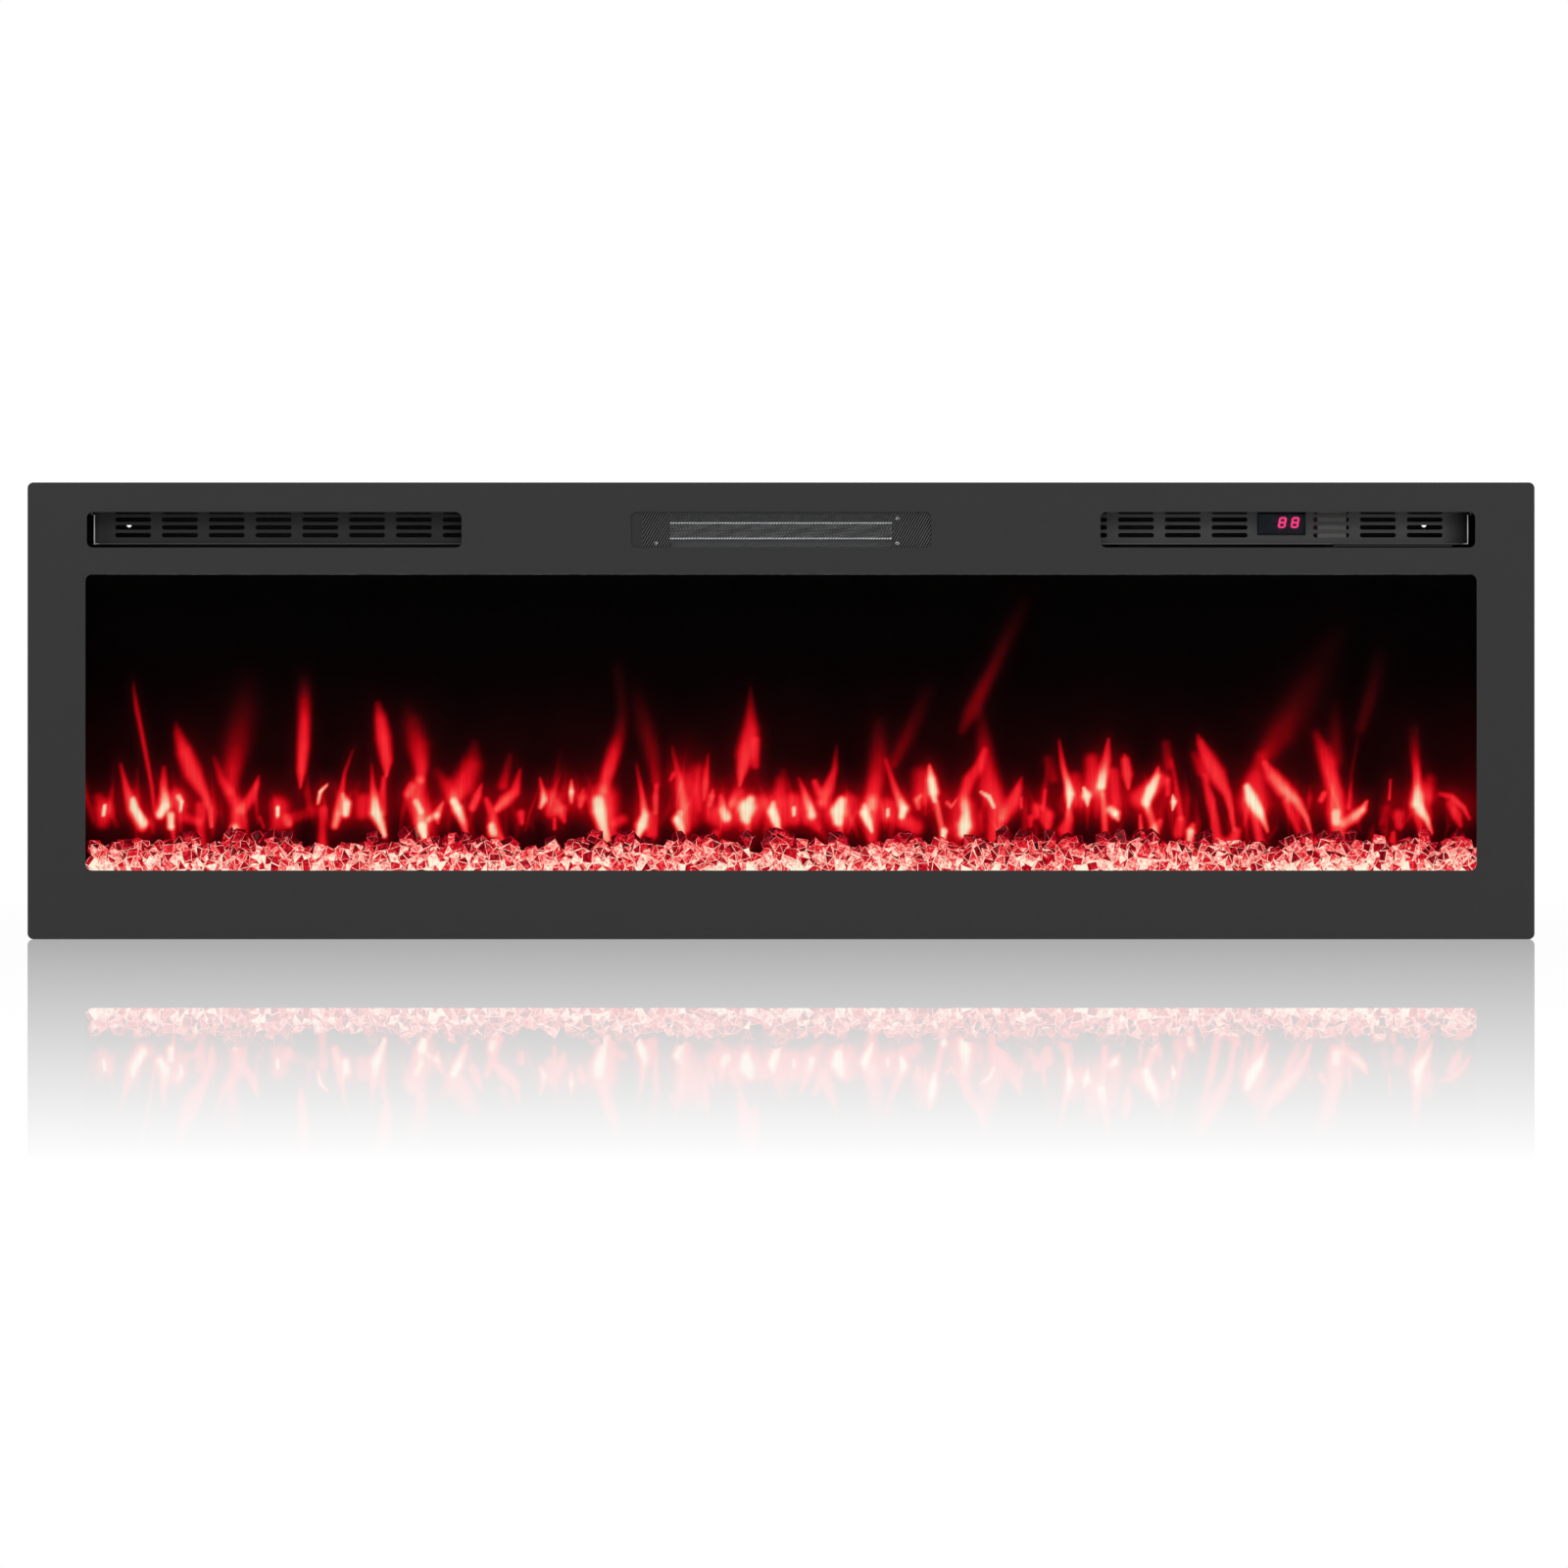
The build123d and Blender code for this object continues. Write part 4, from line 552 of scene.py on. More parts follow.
SOCKETS = {float: "NodeSocketFloat", int: "NodeSocketInt", Vector: "NodeSocketVector"}


def tree_of(name, values):
    """A Geometry Nodes tree with a named input for each value, and its two end nodes."""
    tree = bpy.data.node_groups.new(name, "GeometryNodeTree")
    tree.interface.new_socket("Geometry", in_out="INPUT", socket_type="NodeSocketGeometry")
    for label, value in values.items():
        socket = tree.interface.new_socket(label, in_out="INPUT", socket_type=SOCKETS[type(value)])
        socket.default_value = value
    tree.interface.new_socket("Geometry", in_out="OUTPUT", socket_type="NodeSocketGeometry")
    return tree, add(tree, "NodeGroupInput").outputs, add(tree, "NodeGroupOutput").inputs


def set_on_points(tree, seats, kinds):
    """Sets shapes on points. Each kind says which shape, and its turn, its scale or its choice of points."""
    points = add(tree, "GeometryNodeMeshToPoints", inputs={"Mesh": seats})
    joined = add(tree, "GeometryNodeJoinGeometry")
    for kind in kinds:
        placed = add(tree, "GeometryNodeInstanceOnPoints", inputs={"Points": points, **kind})
        tree.links.new(placed.outputs["Instances"], joined.inputs["Geometry"])
    return joined


def finish_tree(tree, geometry, material, result):
    """Ends a tree: its instances become one plain mesh of one material."""
    real = add(tree, "GeometryNodeRealizeInstances", inputs={"Geometry": geometry})
    made = add(tree, "GeometryNodeSetMaterial", inputs={"Geometry": real, "Material": material})
    tree.links.new(made.outputs["Geometry"], result["Geometry"])


def seats_mesh(name, places, **values):
    """A mesh of loose points, with vectors or choices that each point holds by name."""
    mesh = bpy.data.meshes.new(name)
    mesh.from_pydata(places, [], [])
    for label, rows in values.items():
        rows = np.array(rows)
        kind, field = ("BOOLEAN", "value") if rows.dtype == bool else ("FLOAT_VECTOR", "vector")
        mesh.attributes.new(label, kind, "POINT").data.foreach_set(field, rows.ravel())
    return mesh


def grown_mesh(name, tree, values, start):
    """The plain mesh that a tree makes from a starting mesh, with its inputs set by identifier."""
    carrier = bpy.data.objects.new(name, start)
    bpy.context.scene.collection.objects.link(carrier)
    modifier = carrier.modifiers.new("shape", "NODES")
    modifier.node_group = tree
    for item in tree.interface.items_tree:
        if item.in_out == "INPUT" and item.name in values:
            modifier[item.identifier] = values[item.name]
    depsgraph = bpy.context.evaluated_depsgraph_get()
    mesh = bpy.data.meshes.new_from_object(carrier.evaluated_get(depsgraph), depsgraph=depsgraph)
    mesh.name = name
    bpy.data.objects.remove(carrier)
    return mesh


# Flames. Each tongue is a line of stations (across, up, half width, brightness) in millimetres, as it
# shows through the window; brightness 1 is the pale core and 0.6 the full red.
TONGUES = (
    ((-686, -112, 7, .45), (-685, -100, 9, .55), (-690, -88, 5, .35)),
    ((-685, -105, 2.2, .95), (-684, -96, 1.8, 1)),
    ((-646, -117, 5, .8), (-655, -100, 6, .8), (-662, -78, 3.5, .62), (-668, -54, 1.5, .4)),
    ((-644, -113, 5, .92), (-654, -98, 4, .97), (-655, -90, 3, .9)),
    ((-650, -95, 2, .3), (-651, -60, 1.5, .15)),
    ((-633, -103, 2, .42), (-637, -72, 2.2, .5), (-645, -30, 2.4, .52), (-652, 5, 2.2, .5),
     (-655, 26, 1.5, .28)),
    ((-628, -105, 5, .98), (-623, -96, 7, .98), (-624, -80, 4, .75), (-624, -58, 2.5, .4)),
    ((-617, -117, 4, .98), (-617, -106, 4.5, .95)),
    ((-614, -132, 2, .5), (-615, -118, 2.5, .6)),
    ((-609, -87, 3, .8), (-606, -92, 2, 1), (-607, -101, 1.4, .85)),
    ((-612, -88, 8, .5), (-607, -96, 6, .45)),
    ((-576, -117, 2, .7), (-577, -100, 3.2, .68), (-583, -84, 4.5, .66), (-595, -62, 9, .72),
     (-603, -42, 8, .7), (-610, -22, 4.5, .44), (-612, -12, 2, .2)),
    ((-588, -140, 7, .62), (-587, -122, 4.5, .5), (-587, -97, 5, .5)),
    ((-603, -108, 5, .4), (-590, -112, 4, .45)),
    ((-549, -130, 6, .6), (-549, -112, 7, .58), (-550, -96, 6, .55), (-565, -71, 4, .5),
     (-573, -48, 2.5, .25)),
    ((-549, -128, 4, .75), (-553, -119, 5, .85)),
    ((-556, -80, 5, .45), (-554, -58, 9, .48), (-549, -30, 12, .32), (-543, 0, 12, .2),
     (-540, 28, 9, .08)),
    ((-545, -100, 5, .58), (-536, -88, 5, .62), (-530, -74, 3, .62), (-528, -66, 1, .4)),
    ((-486, -77, 1.5, .6), (-485, -60, 5, .72), (-483, -36, 6.2, .72), (-482, -10, 6.2, .62),
     (-482, 10, 6.2, .42), (-482, 32, 5.5, .12)),
    ((-507, -113, 8, .42), (-507, -97, 9, .45)),
    ((-509, -106, 2.2, .95), (-509, -98, 2.2, 1)),
    ((-498, -114, 4, .72), (-500, -108, 4, .6)),
    ((-492, -108, 5, .35), (-474, -102, 6, .3)),
    ((-527, -108, 1.5, .45), (-523, -118, 1.5, .4)),
    ((-515, -122, 3, .4), (-510, -134, 3, .4)),
    ((-459, -75, 1.5, .9), (-466, -82, 2.2, .97), (-468, -93, 1.8, .85)),
    ((-464, -137, 5, .66), (-464, -118, 4, .5), (-463, -100, 4, .55)),
    ((-451, -116, 4, .85), (-448, -104, 5, .85), (-445, -85, 3, .6), (-441, -62, 2, .45),
     (-433, -40, 1.5, .25)),
    ((-440, -104, 4.5, .97), (-439, -94, 5, .98), (-443, -85, 2.5, .7)),
    ((-401, -126, 3, .95), (-405, -114, 5, .95), (-410, -103, 7, 1), (-411, -92, 5, .9),
     (-413, -76, 2.5, .6), (-414, -54, 1.5, .25)),
    ((-424, -104, 6, .45), (-422, -90, 6, .42)),
    ((-399, -66, 1.5, .6), (-399, -50, 6, .72), (-402, -28, 7.5, .72), (-405, -8, 6, .64),
     (-408, 6, 3.5, .35)),
    ((-402, -104, 3, .55), (-402, -68, 2.5, .45)),
    ((-364, -70, 4, .6), (-364, -55, 7, .6), (-367, -36, 10, .5), (-373, -12, 9, .28), (-378, 4, 6, .1)),
    ((-358, -132, 3, .75), (-363, -120, 6, .9), (-365, -104, 8, .74), (-369, -86, 9, .66),
     (-366, -72, 6, .6)),
    ((-361, -127, 3, .95), (-363, -117, 4.5, .97)),
    ((-364, -102, 3, .82), (-369, -92, 3, .78)),
    ((-378, -84, 4, .58), (-374, -76, 4, .55)),
    ((-356, -110, 3, .7), (-348, -105, 4.5, .82), (-342, -93, 1.5, .7)),
    ((-347, -113, 1.5, .6), (-348, -106, 3, .75)),
    ((-330, -88, 6, .6), (-321, -74, 11, .6), (-313, -56, 10, .52), (-310, -34, 5, .2)),
    ((-331, -90, 5, .5), (-339, -74, 6, .42), (-347, -62, 4, .2)),
    ((-331, -92, 4, .95), (-327, -99, 6, 1), (-322, -111, 4.5, .9), (-317, -128, 2, .65)),
    ((-312, -98, 4, .68), (-307, -86, 4, .68), (-303, -75, 1.5, .5)),
    ((-287, -99, 4, .75), (-279, -91, 6, .78), (-269, -82, 5, .68), (-264, -60, 2, .35)),
    ((-281, -75, 5, .42), (-274, -46, 3, .2)),
    ((-282, -131, 3, .7), (-290, -121, 6.5, .74), (-292, -105, 4, .6), (-298, -90, 3, .5)),
    ((-291, -124, 4, .82), (-293, -117, 4, .85)),
    ((-262, -113, 2.5, .6), (-263, -104, 4, .62)),
    ((-243, -97, 2.5, .85), (-240, -90, 4, .9), (-241, -80, 2.5, .75), (-244, -68, 1.2, .45)),
    ((-232, -102, 6, .55), (-233, -88, 8, .55)),
    ((-229, -119, 1.8, .6), (-229, -110, 1.8, .55)),
    ((-219, -112, 2, .55), (-223, -100, 6, .7), (-226, -92, 3, .5)),
    ((-212, -92, 2, .75), (-212, -82, 3.2, .98), (-212, -71, 1.5, .7)),
    ((-203, -96, 2.5, .6), (-201, -88, 4, .66), (-200, -80, 2, .4)),
    ((-176, -131, 4, .8), (-180, -117, 5.5, .92), (-184, -101, 8, 1), (-185, -92, 7, .95)),
    ((-176, -126, 9, .55), (-178, -88, 12, .6)),
    ((-180, -80, 5, .62), (-175, -62, 6.5, .7), (-169, -42, 7, .58), (-163, -22, 6, .3),
     (-160, 0, 5, .15), (-165, 42, 4, .1)),
    ((-126, -74, 4, .35), (-131, -40, 7, .3), (-137, -16, 8, .22), (-145, 14, 6, .1)),
    ((-127, -103, 2.2, .62), (-127, -88, 3, .68), (-126, -76, 2.2, .5)),
    ((-144, -125, 4, .95), (-141, -116, 6.5, 1), (-138, -106, 4.5, .92), (-140, -88, 2.8, .68),
     (-146, -55, 1.5, .3)),
    ((-130, -124, 5, .55), (-134, -108, 7, .6)),
    ((-168, -114, 4, .42), (-160, -110, 5, .5)),
    ((-97, -131, 2, .75), (-102, -118, 4.5, .95), (-105, -110, 5.5, 1), (-103, -104, 4, .8)),
    ((-96, -120, 4, .65), (-99, -96, 6, .72), (-103, -68, 3, .5), (-110, -37, 1.5, .24)),
    ((-90, -110, 8, .4), (-92, -78, 14, .5), (-85, -62, 8, .35)),
    ((-97, -60, 16, .2), (-95, -30, 14, .08)),
    ((-78, -89, 1.5, .55), (-76, -72, 3.2, .62), (-74, -45, 1.5, .3)),
    ((-112, -70, 1.5, .5), (-109, -64, 2.5, .5)),
    ((-72, -96, 2, .6), (-70, -86, 3.2, .72), (-69, -80, 1.5, .5)),
    ((-55, -108, 5, .92), (-59, -100, 5, .8), (-61, -86, 2, .5)),
    ((-68, -106, 9, .55), (-58, -110, 9, .5)),
    ((-50, -94, 4, .5), (-42, -82, 4, .35)),
    ((-36, -108, 6, .95), (-35, -98, 9, 1), (-31, -90, 5, .9)),
    ((-32, -100, 16, .6), (-20, -94, 8, .6)),
    ((-33, -128, 2, .45), (-34, -112, 3, .7)),
    ((-42, -76, 1.5, .62), (-40, -62, 5, .72), (-36, -44, 9, .72), (-31, -20, 8, .62), (-31, 2, 4.5, .4),
     (-31, 24, 1.5, .15)),
    ((-26, -55, 4, .5), (-25, -30, 4, .5)),
    ((-2, -122, 2, .85), (-6, -110, 5, .98), (-9, -102, 5.5, 1), (-8, -94, 3, .8)),
    ((-4, -112, 9, .55), (-2, -92, 8, .6), (0, -72, 6, .4), (2, -62, 4, .2)),
    ((-70, -136, 6, .45), (-66, -124, 4, .5)),
    ((13, -105, 2, .9), (13, -99, 2.4, .95)),
    ((13, -108, 8, .52), (13, -92, 8, .5)),
    ((31, -105, 5.5, .93), (29, -98, 5, .9), (24, -84, 3.5, .65), (18, -68, 1.5, .3)),
    ((36, -118, 4, .4), (30, -110, 6, .5)),
    ((42, -92, 6, .7), (47, -80, 6, .72), (54, -60, 3.5, .55), (56, -36, 1.5, .2)),
    ((34, -72, 3, .6), (38, -82, 4, .55)),
    ((57, -112, 5, .95), (57, -102, 8, 1), (61, -91, 5, .92)),
    ((60, -104, 15, .6), (68, -92, 8, .55)),
    ((60, -130, 2.5, .55), (60, -112, 3, .7)),
    ((92, -122, 1.8, .9), (88, -112, 4.5, .98), (84, -103, 5.5, 1), (84, -96, 3, .8)),
    ((92, -130, 5, .6), (90, -108, 9, .58), (92, -92, 7, .6)),
    ((91, -96, 6, .62), (95, -72, 7.5, .54), (98, -48, 8, .35), (99, -14, 6, .13)),
    ((122, -106, 4, .97), (124, -99, 6, 1), (119, -88, 4, .78), (113, -72, 3, .6), (106, -50, 2, .35)),
    ((108, -106, 6, .55), (107, -96, 7, .5)),
    ((108, -106, 1.8, .9), (108, -100, 2, .85)),
    ((124, -112, 7, .62), (136, -118, 8, .6)),
    ((114, -54, 4, .28), (124, -32, 7, .25), (135, -10, 7, .19), (148, 20, 5, .08)),
    ((155, -90, 3, .9), (154, -82, 6, 1), (152, -70, 5.5, .98), (150, -56, 2, .75)),
    ((165, -130, 3, .72), (161, -112, 3, .72), (157, -92, 2.5, .75)),
    ((163, -129, 2.5, .95), (165, -122, 4, .98)),
    ((142, -88, 7, .5), (141, -66, 9, .42)),
    ((139, -98, 2.5, .62), (137, -90, 3, .7), (141, -86, 2, .6)),
    ((168, -93, 2, .7), (172, -97, 1.5, .75), (178, -89, 1.2, .55)),
    ((184, -124, 5.5, .97), (186, -116, 8, 1), (187, -104, 5, .9), (185, -86, 5, .68),
     (190, -70, 6, .62), (200, -56, 5, .55), (206, -40, 3, .4)),
    ((186, -118, 14, .55), (186, -98, 10, .55)),
    ((214, -136, 6, .62), (217, -120, 8, .66), (219, -100, 9, .66), (212, -76, 10, .62),
     (207, -48, 8, .45), (204, -20, 6, .25), (202, 0, 4, .1)),
    ((202, -82, 1.5, .85), (210, -87, 2.5, .95), (215, -97, 1.8, .9)),
    ((226, -108, 5, .62), (234, -92, 6.5, .66), (240, -78, 4, .6), (243, -68, 1.5, .4)),
    ((243, -98, 1.5, .6), (243, -88, 1.5, .5)),
    ((183, -20, 4, .22), (192, -2, 7, .34), (202, 18, 7, .34), (213, 40, 6, .28), (226, 68, 6, .18),
     (245, 106, 5, .06)),
    ((257, -107, 3, .5), (258, -98, 4.5, .52)),
    ((270, -116, 4, .62), (270, -106, 6, .66), (265, -98, 3, .5)),
    ((252, -116, 2.5, .5), (252, -108, 3, .5)),
    ((266, -94, 1.5, .5), (267, -80, 1.5, .4)),
    ((291, -96, 2, .9), (292, -84, 5, 1), (290, -74, 4, .9), (285, -56, 3, .68), (281, -30, 1.5, .35)),
    ((287, -121, 7, .68), (291, -110, 4.5, .7), (291, -98, 2.5, .75)),
    ((296, -88, 9, .55), (297, -68, 6, .4)),
    ((270, -50, 5, .28), (275, -68, 5, .34)),
    ((310, -95, 1.5, .9), (309, -86, 5.5, 1), (306, -78, 1.5, .9)),
    ((324, -76, 5, 1), (326, -64, 5.5, .9), (329, -48, 4.5, .7), (331, -29, 1.5, .5)),
    ((318, -78, 9, .6), (314, -50, 7, .5)),
    ((328, -132, 3, .7), (327, -110, 3.2, .7), (325, -84, 3, .68)),
    ((333, -100, 4.5, .9), (338, -104, 5.5, 1), (341, -110, 2, .85)),
    ((339, -94, 5, .5), (336, -62, 4.5, .5)),
    ((351, -78, 2, .65), (350, -64, 5.5, .74), (348, -50, 4.5, .7), (347, -45, 2, .5)),
    ((369, -92, 5, .97), (374, -80, 6, 1), (380, -66, 4, .85), (381, -58, 2, .6)),
    ((378, -124, 4, .75), (374, -108, 3.5, .72), (370, -96, 4, .8)),
    ((362, -88, 9, .6), (384, -70, 7, .55)),
    ((383, -112, 3, .6), (378, -120, 5, .66)),
    ((365, -134, 1.8, .75), (364, -120, 2, .78), (363, -106, 1.5, .6)),
    ((389, -34, 4.5, .3), (392, -55, 4, .35)),
    ((391, -84, 2.5, .5), (391, -70, 3, .5)),
    ((404, -108, 3, .5), (400, -80, 2.5, .42), (395, -50, 2, .3)),
    ((396, -100, 1.2, .9), (397, -92, 3.6, 1), (396, -86, 1.2, .9)),
    ((413, -131, 4, .9), (414, -122, 5, .97), (416, -116, 3, .7)),
    ((402, -124, 5, .6), (404, -112, 5, .6)),
    ((458, -120, 2, .62), (455, -100, 3, .66), (451, -84, 4.5, .68), (440, -64, 9, .74),
     (431, -48, 8, .7), (424, -32, 4, .6), (421, -24, 1.5, .35)),
    ((441, -128, 5, .62), (438, -108, 4.5, .64), (433, -88, 4, .6), (428, -66, 3, .5)),
    ((442, -134, 5, .6), (456, -134, 7, .7), (461, -122, 4, .62)),
    ((424, -62, 4, .4), (417, -44, 3, .3)),
    ((471, -77, 4, .95), (475, -88, 6.5, 1), (484, -102, 5, 1), (492, -122, 1.6, .75)),
    ((478, -92, 13, .6), (480, -66, 8, .5), (484, -48, 6, .25)),
    ((485, -136, 4.5, .66), (481, -116, 4, .6), (478, -100, 3, .55)),
    ((536, -124, 1.6, .7), (531, -108, 3, .8), (522, -92, 5, .8), (508, -79, 8, .85), (497, -66, 7, .8),
     (489, -53, 3, .6)),
    ((526, -130, 3, .5), (518, -108, 4, .55), (511, -92, 4, .55)),
    ((490, -44, 8, .33), (506, -22, 14, .3), (524, 8, 14, .2), (545, 45, 12, .1), (562, 78, 8, .04)),
    ((568, -136, 5, .66), (563, -120, 7, .7), (561, -104, 8, .74), (561, -84, 7, .7),
     (554, -60, 7.5, .66), (548, -40, 7, .5), (541, -24, 4, .3)),
    ((561, -112, 4.5, .85), (561, -104, 4.5, .82)),
    ((561, -50, 6, .29), (561, -20, 6, .19), (560, 5, 5, .08)),
    ((546, -90, 3, .66), (549, -84, 3, .66)),
    ((570, -114, 5, .75), (580, -107, 6, .88), (588, -100, 4.5, .92), (592, -92, 2, .75)),
    ((574, -98, 2.5, .52), (577, -68, 1.2, .2)),
    ((586, -18, 5, .2), (594, 8, 6, .21), (600, 30, 6, .14), (606, 56, 5, .05)),
    ((576, -66, 1.2, .22), (583, -30, 2, .15)),
    ((615, -89, 1.4, .65), (616, -70, 1.2, .5)),
    ((625, -116, 4, .55), (624, -106, 6, .55)),
    ((618, -136, 4, .6), (619, -124, 2.5, .55)),
    ((609, -112, 4, .3), (611, -100, 5, .3)),
    ((658, -124, 1.5, .75), (653, -110, 3.5, .9), (643, -94, 7, 1), (643, -80, 4.5, .85),
     (643, -64, 4, .7), (641, -44, 4.5, .4), (640, -18, 5, .12)),
    ((650, -84, 10, .65), (656, -70, 6, .35)),
    ((647, -122, 3, .5), (643, -104, 4, .6)),
    ((666, -84, 2, .45), (678, -87, 3, .62), (690, -98, 2.5, .66), (696, -109, 1.5, .5)),
    ((677, -94, 4, .55), (683, -106, 5, .6), (687, -116, 2.5, .5)),
)


def tongue_light(x, z, stations):
    """Brightness, from 0 to 1, that one tongue throws at points of the screen, all in millimetres."""
    core_width, softest, crispness = 0.95, 1.8, 1.4
    halo_glow, halo_least, halo_width, halo_squash = 0.22, 5, 1.4, 0.7
    light = np.zeros_like(x)
    for (x0, z0, half0, glow0), (x1, z1, half1, glow1) in zip(stations, stations[1:]):
        run, rise = x1 - x0, z1 - z0
        along = np.clip(((x - x0) * run + (z - z0) * rise) / (run ** 2 + rise ** 2), 0, 1)
        aside, above = x - x0 - along * run, z - z0 - along * rise
        half = half0 + along * (half1 - half0)
        glow = glow0 + along * (glow1 - glow0)
        # A brighter tongue has a crisper edge.
        power = softest + crispness * glow
        core = np.exp(-0.5 * (np.hypot(aside, above) / (core_width * half)) ** power)
        spread = halo_least + halo_width * half
        halo = halo_glow * np.exp(-(np.hypot(aside, halo_squash * above) / spread) ** 2)
        light = np.maximum(light, glow * np.maximum(core, halo))
    return light


def haze_light(x, z):
    """Brightness of the dim red haze behind the tongues, strongest low down and uneven along the bed."""
    long_wave, short_wave, shift = 41, 17, 1.3
    drift = 0.75 + 0.25 * np.sin(x / long_wave) * np.sin(x / short_wave + shift)
    # Height, reach and brightness of the band behind the tongues, of what rises from it and of its foot.
    layers = ((-95, 24, 0.17), (-66, 66, 0.12), (-142, 16, 0.15))
    return drift * sum(glow * np.exp(-((z - height) / reach) ** 2) for height, reach, glow in layers)


def wisps():
    """Thin, dim tongues between the drawn ones, in the same form."""
    random = np.random.default_rng(SEED)
    bed_end, spacing, scatter = 690, 11, 6
    made = []
    for x in np.arange(-bed_end, bed_end, spacing):
        foot, length, half = random.uniform(-138, -96), random.uniform(18, 62), random.uniform(1.2, 3.4)
        lean, curl, glow = random.normal(0, 0.22), random.normal(0, 3), random.uniform(0.12, 0.36)
        x += random.uniform(-scatter, scatter)
        # Foot, middle and tip.
        made.append((
            (x, foot, 0.7 * half, 0.6 * glow),
            (x + 0.4 * lean * length + curl, foot + 0.4 * length, half, glow),
            (x + lean * length, foot + length, 0.4 * half, 0.2 * glow),
        ))
    return tuple(made)


class FIREPLACE_OT_flames(bpy.types.Operator):
    """Makes the flame screen with the picture of the flames in its vertices."""

    bl_idname = "fireplace.flames"
    bl_label = "Flame screen"

    def execute(self, context):
        sizes = context.scene.fireplace_sizes
        colours = context.scene.fireplace_colours
        low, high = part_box("flame_screen")
        flame_foot, flame_top, picture_top = -142 * MM, -20 * MM, 110 * MM
        fine, middling, coarse = 2 * MM, 4 * MM, 9 * MM
        columns = np.linspace(low.x, high.x, int((high.x - low.x) / sizes.screen_step) + 1)
        rows = np.concatenate([
            [low.z], np.arange(flame_foot, flame_top, fine), np.arange(flame_top, picture_top, middling),
            np.arange(picture_top, high.z - coarse / 2, coarse), [high.z],
        ])
        x, z = (grid.ravel() for grid in np.meshgrid(columns, rows))
        light = self.picture(x / MM, z / MM, context.scene.fireplace_stage)
        mesh = self.slab(columns, rows, low.y, high.y)
        mesh.materials.append(finish_of("flame_screen"))
        self.paint(mesh, light, colours)
        piece("flame_picture", mesh, "chassis", "flame_acrylic", "flame_screen")
        return {"FINISHED"}

    def picture(self, x, z, stage):
        """Brightness at each point of the screen. The tongues are as seen in the panel's plane."""
        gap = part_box("flame_screen")[0].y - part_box("front_panel")[0].y
        spread = 1 + gap / stage.view_distance
        eye_z = stage.view_height / MM
        seen_x, seen_z = x / spread, eye_z + (z - eye_z) / spread
        dark = 1 - haze_light(seen_x, seen_z)
        reach = 40
        for stations in TONGUES + wisps():
            line = np.array(stations)
            near = (seen_x > line[:, 0].min() - reach) & (seen_x < line[:, 0].max() + reach)
            near &= (seen_z > line[:, 1].min() - reach) & (seen_z < line[:, 1].max() + reach)
            dark[near] *= 1 - tongue_light(seen_x[near], seen_z[near], stations)
        return 1 - dark

    def slab(self, columns, rows, front, back):
        """A closed slab whose front is a grid, with a plain back."""
        wide, tall = len(columns), len(rows)
        points = [(x, front, z) for z in rows for x in columns]
        cells = [
            (j * wide + i, j * wide + i + 1, (j + 1) * wide + i + 1, (j + 1) * wide + i)
            for j in range(tall - 1) for i in range(wide - 1)
        ]
        rim = list(range(wide))
        rim += [j * wide + wide - 1 for j in range(1, tall)]
        rim += [(tall - 1) * wide + i for i in range(wide - 2, -1, -1)]
        rim += [j * wide for j in range(tall - 2, 0, -1)]
        first = len(points)
        points += [(points[i][0], back, points[i][2]) for i in rim]
        rear = list(range(first, first + len(rim)))
        cells.extend(zip(rim, rear, rear[1:] + rear[:1], rim[1:] + rim[:1]))
        cells.append(tuple(reversed(rear)))
        mesh = bpy.data.meshes.new("flame_picture")
        mesh.from_pydata(points, [], cells)
        return mesh

    def paint(self, mesh, light, colours):
        """Turns brightness into the colours of glowing light, stored on the vertices."""
        levels = (0, 0.1, 0.22, 0.36, 0.5, 0.6, 0.7, 0.78, 0.86, 0.93, 1)
        glow = (
            linear("#000000"), linear("#1a0102"), colours.flame_haze, linear("#740107"),
            linear("#b4040f"), colours.flame_body, linear("#f41c2a"), linear("#fb3639"),
            linear("#fd6557"), linear("#feac91"), colours.flame_core,
        )
        painted = np.zeros((len(mesh.vertices), 4))
        painted[:, 3] = 1
        for i in range(3):
            painted[:len(light), i] = np.interp(light, levels, [c[i] for c in glow])
        layer = mesh.color_attributes.new("flame_light", "FLOAT_COLOR", "POINT")
        layer.data.foreach_set("color", painted.ravel())


